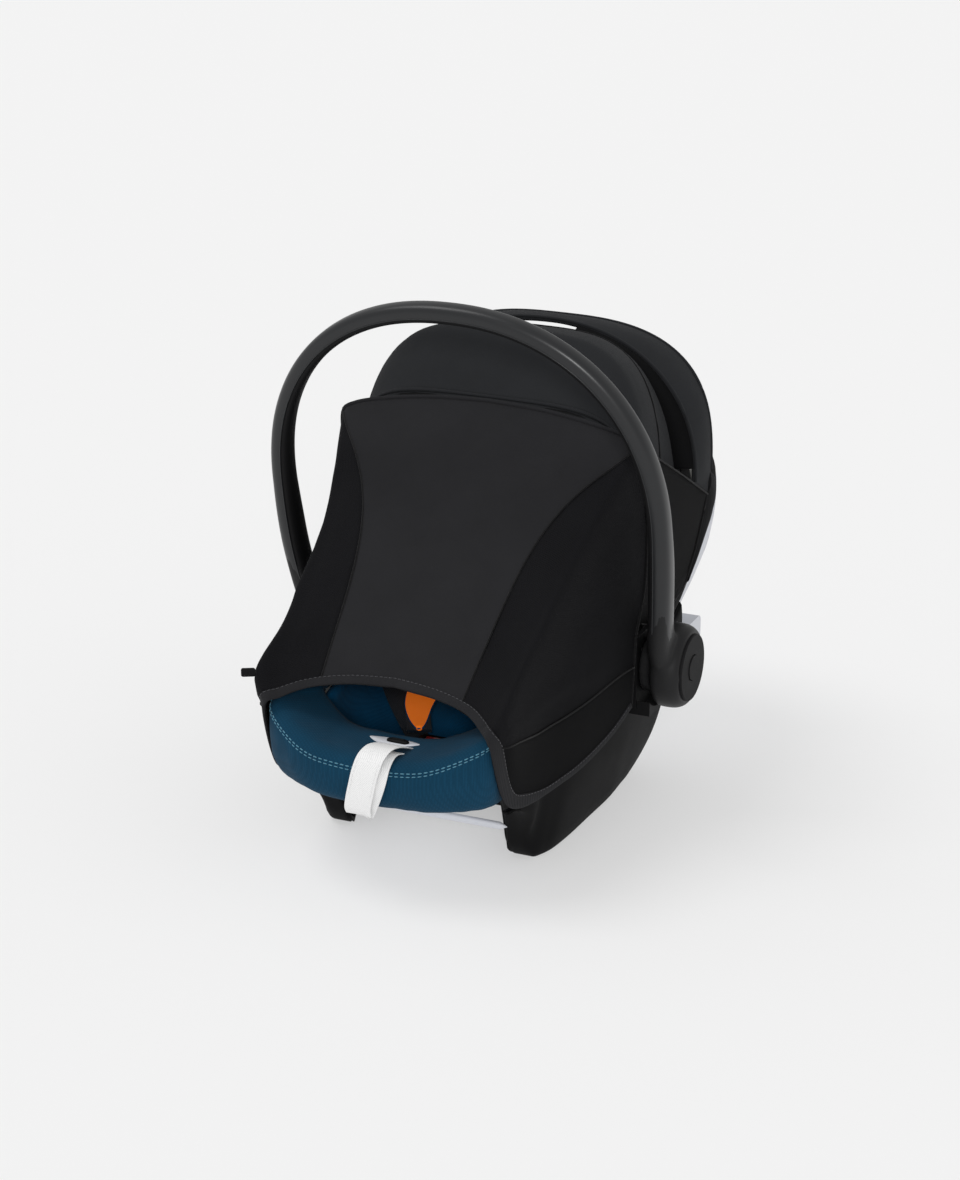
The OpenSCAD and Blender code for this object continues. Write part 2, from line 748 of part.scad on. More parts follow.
// Middle line of a shoulder strap: side is 1 right or -1 left, reach moves its lower end forward
function strap_line(side, reach) = [
    [side * 34, 112, 158], [side * 44, 84, 140], [side * 56, 40, 120], [side * 60, -20, 112],
    [side * mix(58, 46, reach), mix(-50, -84, reach), 110], [side * mix(40, 20, reach), mix(-92, -140, reach), 109]];

module harness_webbing() {
    color(charcoal) for (side = [-1, 1]) let(line = strap_line(side, side < 0 ? 1 : 0)) {
        webbing([for (k = [0 : 11]) spline(line, k / 11)], 26, 2);
        webbing([[side * 96, -40, 108], [side * 74, -70, 104], [side * 40, -112, 98], [side * 19, -136, 94]],
            26, 1.6, [0, 1, 0]);
    }
    color(charcoal) webbing([[0, -184, 90], [0, -174, 94], [0, -163, 95]], 30, 2);
}

module shoulder_pads() {
    color(orange) for (side = [-1, 1]) let(line = strap_line(side, side < 0 ? 1 : 0))
        loft([for (k = [1 : 11]) let(
            f = k / 11,
            p = spline(line, f),
            t = unit(spline(line, min(f + 0.02, 1)) - spline(line, f - 0.02)),
            w = unit(cross(t, [0, 0, 1])) * mix(21, 7, pow(f, 6)))
            [for (s = [[-1, 4], [-0.9, 6.5], [0, 8.5], [0.9, 6.5], [1, 4], [0, 3.6]])
                p + w * s[0] + [0, 0, s[1]]]]);
}

module crotch_pad() {
    color(orange) translate([0, 0, 99.2])
        pad([[-186, 14, 1.5, 0], [-182, 18, 2.5, 0.5], [-166, 18, 2.5, 0.5], [-162, 14, 1.5, 0]], 12);
}

buckle_at = [0, -150, 91];
module buckle_housing() {
    color(black) translate(buckle_at) difference() {
        rounded_box([34, 24, 16], 7);
        translate([-9, -9, 9]) cube([18, 14, 10]);
    }
}
module buckle_button() {
    color([0.65, 0.08, 0.08]) translate(buckle_at + [-8.7, -8.7, 13]) cube([17.4, 13.4, 4.5]);
}
module buckle_tongues() {
    color(steel) both_sides() translate([4, -137.5, 95.2]) cube([14, 10, 1.4]);
}

module splitter_plate() {
    color(steel) translate([0, 150, 60]) rotate([20, 0, 0]) difference() {
        rounded_box([64, 30, 2], 6);
        for (x = [-26, 6]) translate([x, 2, -1]) cube([20, 6, 4]);
        translate([-14, -9, -1]) cube([28, 5, 4]);
    }
}

// Strap adjuster on the bolster's inner slope
adjuster_y = -250;
module on_slope() { translate([0, adjuster_y, 146.8]) rotate([-9, 0, 0]) children(); }

module adjuster_housing() {
    color(pale) on_slope() difference() {
        rounded_box([64, 24, 6], 11.9);
        translate([-17, -9, -1]) cube([34, 5, 10]);
        translate([0, 2.5, 2]) rounded_box([26, 10, 6], 3);
    }
}
module adjuster_button() {
    color(charcoal) on_slope() translate([0, 2.5, 4]) rounded_box([25.2, 9.2, 3], 2.8);
}

// White pull strap: out of the bezel, over the bolster's top and down its front, folded back up
// behind itself
strap_path = [
    [0, -256.6, 150], [0, -258, 156], [0, -266, 157], [0, -284, 154], [0, -300, 152.3],
    [0, -311, 150.5], [0, -317.3, 140], [0, -318.5, 118], [0, -320, 96]];
module adjuster_strap() {
    color(white) webbing([for (k = [0 : 16]) spline(strap_path, k / 16)], 28, 1.5);
}

// ---- drawing ----------------------------------------------------------------------------------

main_shell();
front_bar();
energy_foam();
seat_liner();
rim_roll();
front_bolster();
belly_tray();
side_panel_left();
side_panel_right();
belt_guide_left();
belt_guide_right();
belt_guide_rear();
pedestal_left();
pedestal_right();
pivot_pin_left();
pivot_pin_right();
lock_gear_left();
lock_gear_right();
pedestal_screws();
canopy_rear();
canopy_hoop();
canopy_discs();
canopy_visor();
canopy_front_bow();
canopy_mid_bow();
cover_centre();
cover_side_left();
cover_side_right();
cover_hem();
cover_tag();
handle_outer();
handle_inner();
hub_left();
hub_right();
hub_cap_left();
hub_cap_right();
hub_screws();
button_left();
button_right();
lock_ring_left();
lock_ring_right();
button_spring_left();
button_spring_right();
protector_left();
protector_right();
headrest_shell();
headrest_pad();
newborn_inlay();
harness_webbing();
shoulder_pads();
crotch_pad();
buckle_housing();
buckle_button();
buckle_tongues();
splitter_plate();
adjuster_housing();
adjuster_button();
adjuster_strap();
base_lever();
base_hooks();
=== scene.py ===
import math

import bmesh
import bpy
from mathutils import Matrix, Vector, noise


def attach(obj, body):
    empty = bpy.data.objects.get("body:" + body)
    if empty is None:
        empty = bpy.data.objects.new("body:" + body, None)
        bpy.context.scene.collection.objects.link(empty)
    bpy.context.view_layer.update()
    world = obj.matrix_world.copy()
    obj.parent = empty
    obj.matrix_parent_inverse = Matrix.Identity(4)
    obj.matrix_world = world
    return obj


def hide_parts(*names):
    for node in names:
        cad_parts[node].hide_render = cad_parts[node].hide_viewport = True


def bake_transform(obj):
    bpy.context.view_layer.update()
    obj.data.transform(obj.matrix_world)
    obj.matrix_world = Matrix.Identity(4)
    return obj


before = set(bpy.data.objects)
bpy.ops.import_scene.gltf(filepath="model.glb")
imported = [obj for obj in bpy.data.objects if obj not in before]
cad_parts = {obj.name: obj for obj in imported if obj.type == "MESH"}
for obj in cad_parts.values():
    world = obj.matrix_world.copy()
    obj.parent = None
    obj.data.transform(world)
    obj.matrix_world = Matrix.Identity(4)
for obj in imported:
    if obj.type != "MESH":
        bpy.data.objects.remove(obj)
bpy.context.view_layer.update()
MM = 0.001


# ---- camera, light and floor ---------------------------------------------------------------------

WORLD_LIGHT = 0.62
FLOOR_GREY, FLOOR_GLOW, FLOOR_REACH = 0.5, 0.41, 40

def make_camera():
    azimuth, elevation, distance = math.radians(23.7), math.radians(20.5), 2.877
    target = Vector((0, -0.032, 0.229))
    away = Vector((math.sin(azimuth) * math.cos(elevation), -math.cos(azimuth) * math.cos(elevation),
                   math.sin(elevation)))
    data = bpy.data.cameras.new("camera")
    data.lens = 85
    data.sensor_width = 36
    camera = bpy.data.objects.new("camera", data)
    camera.location = target + away * distance
    camera.rotation_euler = (-away).to_track_quat("-Z", "Y").to_euler()
    bpy.context.scene.collection.objects.link(camera)
    bpy.context.scene.camera = camera


def sun_light(name, azimuth, elevation, strength, softness):
    """Distant light from azimuth (0 is the foot end, 90 the right side) and elevation in degrees."""
    data = bpy.data.lights.new(name, "SUN")
    data.energy = strength
    data.angle = math.radians(softness)
    light = bpy.data.objects.new(name, data)
    turn, lift = math.radians(azimuth), math.radians(elevation)
    source = Vector((math.sin(turn) * math.cos(lift), -math.cos(turn) * math.cos(lift), math.sin(lift)))
    light.rotation_euler = source.to_track_quat("Z", "Y").to_euler()
    bpy.context.scene.collection.objects.link(light)


def make_stage():
    world = bpy.data.worlds.new("studio")
    world.use_nodes = True
    background = world.node_tree.nodes["Background"]
    background.inputs["Color"].default_value = (1, 1, 1, 1)
    background.inputs["Strength"].default_value = WORLD_LIGHT
    bpy.context.scene.world = world
    bpy.context.scene.view_settings.view_transform = "Standard"
    mesh = bpy.data.meshes.new("floor")
    corners = [(x * FLOOR_REACH, y * FLOOR_REACH, 0) for x, y in ((-1, -1), (1, -1), (1, 1), (-1, 1))]
    mesh.from_pydata(corners, [], [(0, 1, 2, 3)])
    floor = bpy.data.objects.new("floor", mesh)
    bpy.context.scene.collection.objects.link(floor)
    material, shader, _ = new_material("floor_pale")
    shader.inputs["Base Color"].default_value = (FLOOR_GREY, FLOOR_GREY, FLOOR_GREY, 1)
    shader.inputs["Emission Color"].default_value = (1, 1, 1, 1)
    shader.inputs["Emission Strength"].default_value = FLOOR_GLOW
    shader.inputs["Roughness"].default_value = 0.9
    shader.inputs["Specular IOR Level"].default_value = 0.1
    mesh.materials.append(material)
    sun_light("front", 24, 23, 1.0, 10)
    sun_light("top", -70, 62, 0.8, 30)


# ---- materials -----------------------------------------------------------------------------------

def new_material(name):
    material = bpy.data.materials.new(name)
    material.use_nodes = True
    tree = material.node_tree
    return material, tree.nodes["Principled BSDF"], tree


def srgb(r, g, b):
    def linear(c):
        c /= 255
        return c / 12.92 if c <= 0.04045 else ((c + 0.055) / 1.055) ** 2.4
    return (linear(r), linear(g), linear(b), 1)


def shade(colour, factor):
    return tuple(c * factor for c in colour[:3]) + (1,)


def node(tree, kind, **inputs):
    made = tree.nodes.new(kind)
    for key, value in inputs.items():
        made.inputs[key.replace("_", " ")].default_value = value
    return made


def join(tree, source, target):
    tree.links.new(source, target)


def mottled(tree, coords, shader, colour, spread, scale):
    """Slow colour variation about the given colour."""
    cloud = node(tree, "ShaderNodeTexNoise", Scale=scale, Detail=3.0, Roughness=0.6)
    join(tree, coords, cloud.inputs["Vector"])
    ramp = tree.nodes.new("ShaderNodeValToRGB")
    ramp.color_ramp.elements[0].position = 0.3
    ramp.color_ramp.elements[1].position = 0.7
    ramp.color_ramp.elements[0].color = shade(colour, 1 - spread)
    ramp.color_ramp.elements[1].color = shade(colour, 1 + spread)
    join(tree, cloud.outputs["Fac"], ramp.inputs["Fac"])
    join(tree, ramp.outputs["Color"], shader.inputs["Base Color"])
    return ramp


def add_bump(tree, shader, height, strength, distance):
    bump = node(tree, "ShaderNodeBump", Strength=strength, Distance=distance)
    join(tree, height, bump.inputs["Height"])
    join(tree, bump.outputs["Normal"], shader.inputs["Normal"])


def fabric(name, colour, period=1.3, depth=0.5, spread=0.1, sheen=0.25, rough=0.9, coords="UV", slant=0.0,
           painted_light_glow=0.0):
    """Knit or weave: two crossed waves of the given period in millimetres over fine fuzz."""
    material, shader, tree = new_material(name)
    place = tree.nodes.new("ShaderNodeTexCoord").outputs[coords]
    turn = node(tree, "ShaderNodeMapping", Rotation=(0, 0, math.radians(slant)))
    join(tree, place, turn.inputs["Vector"])
    waves = []
    for axis in ("X", "Y"):
        wave = node(tree, "ShaderNodeTexWave", Scale=0.314 / (period * MM), Distortion=0.6)
        wave.inputs["Detail Scale"].default_value = 2.0
        wave.bands_direction = axis
        join(tree, turn.outputs["Vector"], wave.inputs["Vector"])
        waves.append(wave)
    weave = node(tree, "ShaderNodeMath")
    weave.operation = "MULTIPLY"
    join(tree, waves[0].outputs["Fac"], weave.inputs[0])
    join(tree, waves[1].outputs["Fac"], weave.inputs[1])
    fuzz = node(tree, "ShaderNodeTexNoise", Scale=900.0, Detail=2.0)
    join(tree, place, fuzz.inputs["Vector"])
    height = node(tree, "ShaderNodeMath")
    height.operation = "ADD"
    join(tree, weave.outputs[0], height.inputs[0])
    join(tree, fuzz.outputs["Fac"], height.inputs[1])
    ramp = mottled(tree, place, shader, colour, spread, 14.0)
    yarn = tree.nodes.new("ShaderNodeMixRGB")
    yarn.blend_type = "MULTIPLY"
    yarn.inputs["Fac"].default_value = 0.45
    join(tree, ramp.outputs["Color"], yarn.inputs["Color1"])
    lift = tree.nodes.new("ShaderNodeMapRange")
    lift.inputs["To Min"].default_value = 0.55
    lift.inputs["To Max"].default_value = 1.35
    join(tree, height.outputs[0], lift.inputs["Value"])
    join(tree, lift.outputs[0], yarn.inputs["Color2"])
    join(tree, yarn.outputs["Color"], shader.inputs["Base Color"])
    shader.inputs["Roughness"].default_value = rough
    shader.inputs["Specular IOR Level"].default_value = 0.08
    shader.inputs["Sheen Weight"].default_value = sheen
    shader.inputs["Sheen Roughness"].default_value = 0.5
    # Painted light: an emission that makes the cloth glow though it is no lamp, brightening it as if lit.
    if painted_light_glow:
        shader.inputs["Emission Color"].default_value = colour
        shader.inputs["Emission Strength"].default_value = painted_light_glow
    add_bump(tree, shader, height.outputs[0], depth, 0.0005)
    return material


def plastic(name, colour, rough=0.45, grain=0.25, spread=0.05, coat=0.0, grain_scale=700.0, shine=0.12):
    material, shader, tree = new_material(name)
    place = tree.nodes.new("ShaderNodeTexCoord").outputs["Object"]
    mottled(tree, place, shader, colour, spread, 9.0)
    pits = node(tree, "ShaderNodeTexNoise", Scale=grain_scale, Detail=2.0)
    join(tree, place, pits.inputs["Vector"])
    wear = node(tree, "ShaderNodeTexNoise", Scale=22.0, Detail=4.0)
    join(tree, place, wear.inputs["Vector"])
    gloss = tree.nodes.new("ShaderNodeMapRange")
    gloss.inputs["To Min"].default_value = rough - 0.06
    gloss.inputs["To Max"].default_value = rough + 0.08
    join(tree, wear.outputs["Fac"], gloss.inputs["Value"])
    join(tree, gloss.outputs[0], shader.inputs["Roughness"])
    shader.inputs["Coat Weight"].default_value = coat
    shader.inputs["Specular IOR Level"].default_value = shine
    add_bump(tree, shader, pits.outputs["Fac"], grain, 0.0004)
    return material


def metal(name, colour, rough=0.35):
    material, shader, tree = new_material(name)
    place = tree.nodes.new("ShaderNodeTexCoord").outputs["Object"]
    mottled(tree, place, shader, colour, 0.06, 40.0)
    brush = node(tree, "ShaderNodeTexNoise", Scale=400.0, Detail=2.0)
    stretch = node(tree, "ShaderNodeMapping", Scale=(1, 1, 0.05))
    join(tree, place, stretch.inputs["Vector"])
    join(tree, stretch.outputs["Vector"], brush.inputs["Vector"])
    shader.inputs["Metallic"].default_value = 1.0
    shader.inputs["Roughness"].default_value = rough
    add_bump(tree, shader, brush.outputs["Fac"], 0.12, 0.0002)
    return material


def make_materials():
    return {
        "cover_cloth": fabric("cover_cloth", srgb(36, 36, 38), 1.1, 0.5, 0.08, 0.03),
        "cover_mesh": fabric("cover_mesh", srgb(20, 20, 22), 1.8, 0.9, 0.1, 0.01),
        "canopy_cloth": fabric("canopy_cloth", srgb(37, 38, 40), 0.9, 0.35, 0.07, 0.03),
        "skirt_cloth": fabric("skirt_cloth", srgb(13, 13, 14), 1.1, 0.4, 0.07, 0.01),
        "hem_cloth": fabric("hem_cloth", srgb(36, 36, 38), 1.0, 0.6, 0.1, 0.04, coords="Object"),
        "blue_knit": fabric("blue_knit", srgb(15, 54, 76), 2.7, 0.5, 0.1, 0.03, coords="Object", slant=35),
        "blue_deep": fabric("blue_deep", srgb(0, 78, 118), 2.7, 0.5, 0.14, 0.02, coords="Object"),
        "black_knit": fabric("black_knit", srgb(22, 22, 23), 1.2, 0.5, 0.1, 0.02, coords="Object"),
        # The orange pad's weak emission is painted light, brightening it in the shaded bowl.
        "orange_pad": fabric("orange_pad", srgb(250, 122, 30), 1.2, 0.5, 0.08, 0.05, coords="Object",
                             painted_light_glow=0.3),
        "webbing": fabric("webbing", srgb(14, 26, 38), 2.0, 0.9, 0.08, 0.1, coords="Object", slant=45),
        "white_strap": fabric("white_strap", srgb(224, 224, 224), 1.5, 0.35, 0.03, 0.05, slant=45),
        "stitch_blue": fabric("stitch_blue", srgb(74, 128, 150), 0.8, 0.5, 0.1, 0.3, coords="Object"),
        "stitch_grey": fabric("stitch_grey", srgb(62, 62, 66), 0.8, 0.5, 0.1, 0.3, coords="Object"),
        "thread_black": fabric("thread_black", srgb(20, 20, 21), 0.8, 0.5, 0.1, 0.1, coords="Object"),
        "handle_skin": plastic("handle_skin", srgb(29, 30, 32), 0.32, 0.1, 0.04, 0.0, shine=0.4),
        "handle_core": plastic("handle_core", srgb(18, 18, 19), 0.55, 0.3),
        "charcoal_shell": plastic("charcoal_shell", srgb(13, 13, 14), 0.6, 0.3, shine=0.06),
        "hub_plastic": plastic("hub_plastic", srgb(27, 27, 28), 0.45, 0.2, shine=0.2),
        "cap_plastic": plastic("cap_plastic", srgb(26, 26, 27), 0.6, 0.3, shine=0.08),
        "black_trim": plastic("black_trim", srgb(14, 14, 15), 0.55, 0.3),
        "pale_shell": plastic("pale_shell", srgb(208, 210, 216), 0.42, 0.1, 0.02),
        "foam": plastic("foam", srgb(228, 228, 222), 0.8, 0.8, 0.03, 0.0, 260.0),
        "blue_guide": plastic("blue_guide", srgb(40, 96, 160), 0.4, 0.1),
        "red_button": plastic("red_button", srgb(176, 28, 26), 0.28, 0.1, 0.04, 0.4),
        "steel": metal("steel", srgb(170, 172, 176)),
    }


# ---- curves and meshes ---------------------------------------------------------------------------

def mix(a, b, t):
    return a + (b - a) * t


def span(a, b, n):
    """The n + 1 even steps from a to b."""
    return [mix(a, b, k / n) for k in range(n + 1)]


def turns(n):
    """The n even angles round a circle."""
    return [2 * math.pi * k / n for k in range(n)]


def smooth(t):
    t = min(max(t, 0.0), 1.0)
    return t * t * (3 - 2 * t)


def signed_power(value, power):
    return math.copysign(abs(value) ** power, value)


def spline(points, t):
    """Catmull-Rom curve through the points, t from 0 to 1."""
    s = t * (len(points) - 1)
    i = min(int(s), len(points) - 2)
    f = s - i
    a, b = Vector(points[max(i - 1, 0)]), Vector(points[i])
    c, d = Vector(points[i + 1]), Vector(points[min(i + 2, len(points) - 1)])
    return 0.5 * (2 * b + (c - a) * f + (2 * a - 5 * b + 4 * c - d) * f * f
                  + (3 * (b - c) + d - a) * f * f * f)


def curve(points, n):
    """The spline through the points as n + 1 points."""
    return [spline(points, t) for t in span(0, 1, n)]


def flip(p):
    return Vector((-p[0], p[1], p[2]))


def add_piece(name, verts, faces, material, body, uvs=None):
    mesh = bpy.data.meshes.new(name)
    mesh.from_pydata([(v[0] * MM, v[1] * MM, v[2] * MM) for v in verts], [], faces)
    if uvs:
        layer = mesh.uv_layers.new(name="UVMap")
        for loop in mesh.loops:
            layer.data[loop.index].uv = uvs[loop.vertex_index]
    mesh.validate()
    mesh.update()
    piece = bpy.data.objects.new(name, mesh)
    bpy.context.scene.collection.objects.link(piece)
    mesh.materials.append(MATERIALS[material])
    mesh.polygons.foreach_set("use_smooth", [True] * len(mesh.polygons))
    fix_normals(piece)
    if body:
        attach(piece, body)
    return piece


def fix_normals(piece):
    bm = bmesh.new()
    bm.from_mesh(piece.data)
    bmesh.ops.recalc_face_normals(bm, faces=bm.faces)
    bm.to_mesh(piece.data)
    bm.free()


def grid_sheet(name, rows, wall, material, body, inward=None):
    """Closed sheet from rows of points, thickened by wall millimetres towards the point inward."""
    n, m = len(rows[0]), len(rows)
    inward = Vector(inward or (0, 0, 150))
    outer = [Vector(p) for row in rows for p in row]
    normals = []
    for j in range(m):
        for i in range(n):
            along = outer[j * n + min(i + 1, n - 1)] - outer[j * n + max(i - 1, 0)]
            across = outer[min(j + 1, m - 1) * n + i] - outer[max(j - 1, 0) * n + i]
            normal = along.cross(across).normalized()
            if normal.dot(inward - outer[j * n + i]) < 0:
                normal = -normal
            normals.append(normal)
    inner = [p + q * wall for p, q in zip(outer, normals)]
    faces = []
    for j in range(m - 1):
        for i in range(n - 1):
            a, b, c, d = j * n + i, j * n + i + 1, (j + 1) * n + i + 1, (j + 1) * n + i
            faces.append((a, b, c, d))
            faces.append((a + n * m, d + n * m, c + n * m, b + n * m))
    rim = (list(range(n)) + [j * n + n - 1 for j in range(1, m)]
           + [(m - 1) * n + i for i in range(n - 2, -1, -1)] + [j * n for j in range(m - 2, 0, -1)])
    for a, b in zip(rim, rim[1:] + rim[:1]):
        faces.append((a, a + n * m, b + n * m, b))
    uvs = []
    column = [0.0]
    middle = n // 2
    for j in range(1, m):
        column.append(column[-1] + (outer[j * n + middle] - outer[(j - 1) * n + middle]).length * MM)
    for j in range(m):
        run = [0.0]
        for i in range(1, n):
            run.append(run[-1] + (outer[j * n + i] - outer[j * n + i - 1]).length * MM)
        uvs += [(r - run[middle], column[j]) for r in run]
    return add_piece(name, outer + inner, faces, material, body, uvs + uvs)


def loft_piece(name, rings, material, body, closed=False):
    """Skin over rings of equally many points, closed at the ends or joined to itself."""
    n, m = len(rings[0]), len(rings)
    verts = [p for ring in rings for p in ring]
    faces = []
    for j in range(m if closed else m - 1):
        k = (j + 1) % m
        for i in range(n):
            faces.append((j * n + i, j * n + (i + 1) % n, k * n + (i + 1) % n, k * n + i))
    if not closed:
        for j in (0, m - 1):
            verts.append(sum((Vector(p) for p in rings[j]), Vector()) / n)
            hub = len(verts) - 1
            faces += [(hub, j * n + i, j * n + (i + 1) % n) for i in range(n)]
    return add_piece(name, verts, faces, material, body)


def frame_at(path, i):
    """Tangent and two normals of a path at point i."""
    last = len(path) - 1
    t = (Vector(path[min(i + 1, last)]) - Vector(path[max(i - 1, 0)])).normalized()
    up = Vector((0, 1, 0)) if abs(t.z) > 0.9 else Vector((0, 0, 1))
    side = t.cross(up).normalized()
    return t, side, side.cross(t)


def tube_rings(path, r, r2=None, sides=10, normals=None):
    rings = []
    for i, p in enumerate(path):
        t, side, up = frame_at(path, i)
        if normals:
            up = (normals[i] - t * normals[i].dot(t)).normalized()
            side = t.cross(up)
        rings.append([Vector(p) + side * r * math.cos(q) + up * (r2 or r) * math.sin(q)
                      for q in turns(sides)])
    return rings


def tube_piece(name, path, r, material, body, r2=None, sides=10, normals=None):
    return loft_piece(name, tube_rings(path, r, r2, sides, normals), material, body)


def resample(path, count):
    """The path as count points at even distances."""
    path = [Vector(p) for p in path]
    run = [0.0]
    for a, b in zip(path, path[1:]):
        run.append(run[-1] + (b - a).length)
    made, i = [], 0
    for k in range(count):
        s = run[-1] * k / (count - 1)
        while i < len(run) - 2 and run[i + 1] < s:
            i += 1
        made.append(path[i].lerp(path[i + 1], (s - run[i]) / max(run[i + 1] - run[i], 1e-9)))
    return made


def stitches(name, path, material, body, length=3.4, gap=1.8, r=0.45):
    """Row of thread stitches along a path, each a small rounded bar."""
    path = [Vector(p) for p in path]
    total = sum((b - a).length for a, b in zip(path, path[1:]))
    count = max(int(total / (length + gap)), 2)
    dense = resample(path, count * 3 + 1)
    verts, faces = [], []
    for k in range(count):
        a, b = dense[3 * k], dense[3 * k + 2]
        t = (b - a).normalized()
        side = t.cross(Vector((0, 0, 1)))
        side = side.normalized() if side.length > 0.1 else Vector((1, 0, 0))
        up = side.cross(t)
        base = len(verts)
        for f, w in ((0, 0.4), (0.2, 1), (0.8, 1), (1, 0.4)):
            centre = a.lerp(b, f)
            verts += [centre + (side * math.cos(q) + up * math.sin(q)) * r * w
                      for q in turns(6)]
        for j in range(3):
            faces += [(base + j * 6 + i, base + j * 6 + (i + 1) % 6, base + (j + 1) * 6 + (i + 1) % 6,
                       base + (j + 1) * 6 + i) for i in range(6)]
        faces.append(tuple(base + i for i in range(6)))
        faces.append(tuple(base + 18 + i for i in range(6)))
    return add_piece(name, verts, faces, material, body)


def modifier(piece, kind, **settings):
    made = piece.modifiers.new(kind.lower(), kind)
    for key, value in settings.items():
        setattr(made, key, value)
    return made


def soften(piece, width, segments, angle):
    """Rounds the edges sharper than angle degrees by width millimetres."""
    modifier(piece, "BEVEL", width=width * MM, segments=segments, limit_method="ANGLE",
             angle_limit=math.radians(angle))


def apply_modifiers(piece):
    graph = bpy.context.evaluated_depsgraph_get()
    mesh = bpy.data.meshes.new_from_object(piece.evaluated_get(graph))
    piece.modifiers.clear()
    piece.data = mesh


def ripple(piece, height, size, seed=0.0, keep=None):
    """Moves each point along its normal by smooth noise: height in millimetres, size of a wave."""
    mesh = piece.data
    offsets = []
    for v in mesh.vertices:
        p = v.co * 1000 / size + Vector((seed, seed * 1.7, seed * 0.3))
        push = noise.noise(p) * height
        if keep:
            push *= keep(v.co * 1000)
        offsets.append(v.co + v.normal * push * MM)
    for v, co in zip(mesh.vertices, offsets):
        v.co = co


SIDES = ((1, "right"), (-1, "left"))


def both_sides(make):
    for side, word in SIDES:
        make(side, word)


# ---- the seat's rim and bowl ---------------------------------------------------------------------

HALF_LENGTH, HALF_WIDTH = 318, 166
FOOT_Z, HEAD_Z = 134, 318
RIM = [(0, -316, FOOT_Z), (62, -312, FOOT_Z + 5), (106, -286, FOOT_Z + 22), (119, -250, FOOT_Z + 34),
       (131, -190, 170), (149, -100, 171), (164, 0, 176), (166, 90, 202), (164, 180, 250),
       (158, 248, 288), (136, 294, HEAD_Z - 8), (84, 313, HEAD_Z - 2), (0, HALF_LENGTH, HEAD_Z)]


def rim(t):
    return spline(RIM, t)


def keel(y):
    if y < 0:
        d = max(0, -135 - y)
        return 28 + 0.48 * d * d / (d + 30)
    return 28 + (HEAD_Z - 28 - 18) * (y / HALF_LENGTH) ** 3.2


def rim_deep(y):
    """1 where the padded roll on the rim is deep, beside and behind the head."""
    return smooth((y - 40) / 70) * smooth((300 - y) / 60)


def flare(t):
    return 13 * smooth((t - 0.66) / 0.08) * smooth((0.93 - t) / 0.1)


def bowl(t, s, inset, flared):
    """Point of the bowl: t round the rim from foot to head, s from 0 at the rim to 1 at the keel."""
    p = rim(t)
    own = inset - (flare(t) * (1 - s) if flared else 0)
    fx, fy = 1 - own / HALF_WIDTH, 1 - own / HALF_LENGTH
    r = math.cos(math.radians(84) * s)
    spine = p.y * 0.5 * fy
    y = spine + (p.y * fy - spine) * r
    low = keel(y) + inset * 0.9
    high = p.z - 15 - 18 * rim_deep(p.y)
    return Vector((p.x * fx * r, y, low + (high - low) * (1 - (1 - r ** 2.5) ** 0.4)))


def bowl_rows(inset, flared, columns=96, rows=22):
    """Rows of the whole bowl from the rim down, each running round from the foot end."""
    made = []
    for j in range(rows + 1):
        half = [bowl(i * 2 / columns, j / rows, inset, flared) for i in range(columns // 2 + 1)]
        made.append(half + [flip(p) for p in half[-2:0:-1]])
    return made


def bowl_piece(name, outer_inset, wall, material, flared=False):
    outer = bowl_rows(outer_inset, flared)
    inner = bowl_rows(outer_inset + wall, flared)
    return loft_piece(name, outer[::-1] + inner, material, "seat")


# ---- shell, panels and bolster -------------------------------------------------------------------

RUNNER = [(114, -214, 90), (111, -196, 66), (111, -180, 40), (113, -167, 14), (118, -153, 0),
          (125, -134, 0), (129, -98, 0), (131, -50, 0), (133, 5, 0), (131, 52, 0), (135, 92, 16),
          (142, 112, 42), (148, 122, 78), (152, 126, 120)]
PANEL_T0, PANEL_T1 = 0.26, 0.613


def panel_row(f):
    """One cross-section of the right side panel: inner flange, rounded runner edge, wall, top lip."""
    low = spline(RUNNER, f)
    low.z = max(low.z, 0)
    top = rim(mix(PANEL_T0, PANEL_T1, f))
    under = 1 - smooth((mix(PANEL_T0, PANEL_T1, f) - 0.318) / 0.03)
    high = Vector((top.x + 0.5, mix(low.y, top.y, 0.9),
                   top.z - 9 - 25 * rim_deep(top.y) - (top.z - 94) * under))
    w = mix(12, 27, smooth(f / 0.36)) * (1 - 0.6 * smooth((f - 0.6) / 0.4))
    r = 7.0
    row = [low + Vector((-w, 0, 6)), low + Vector((-w, 0, 1.2)), low + Vector((-w + 1.2, 0, 0))]
    row += [low + Vector((mix(-w + 1.2, -r, k / 4), 0, 0)) for k in (1, 2, 3, 4)]
    wall = (high - low).normalized()
    for k in range(1, 6):
        a = math.radians(90 * k / 6)
        row.append(low + Vector((-r + r * math.sin(a), 0, 0)) + wall * r * (1 - math.cos(a)))
    for k in range(0, 13):
        s = mix(r / max((high - low).length, 1), 1, k / 12)
        row.append(low.lerp(high, s) + Vector((6 * math.sin(math.pi * s), 0, 0)))
    row.append(high + Vector((-2, 0, 1.6)))
    row.append(high + Vector((-5, 0, 1.2)))
    return row


def make_shell():
    """Pale shell, its front lip and the dark side panels."""
    shell = bowl_piece("shell_outer", 13, 3, "pale_shell", flared=True)
    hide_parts("main_shell")
    bar = rounded_bar("front_lip", (-95, -181, 42), (95, -181, 42), 3.2, 3.6, "pale_shell")
    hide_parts("front_bar")

    def panel(side, word):
        rows = [[p if side > 0 else flip(p) for p in panel_row(k / 72)] for k in range(73)]
        piece = grid_sheet("panel_" + word, rows, 2.6, "charcoal_shell", "seat",
                           inward=(0, -20, 260))
        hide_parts("side_panel_" + word)
    both_sides(panel)


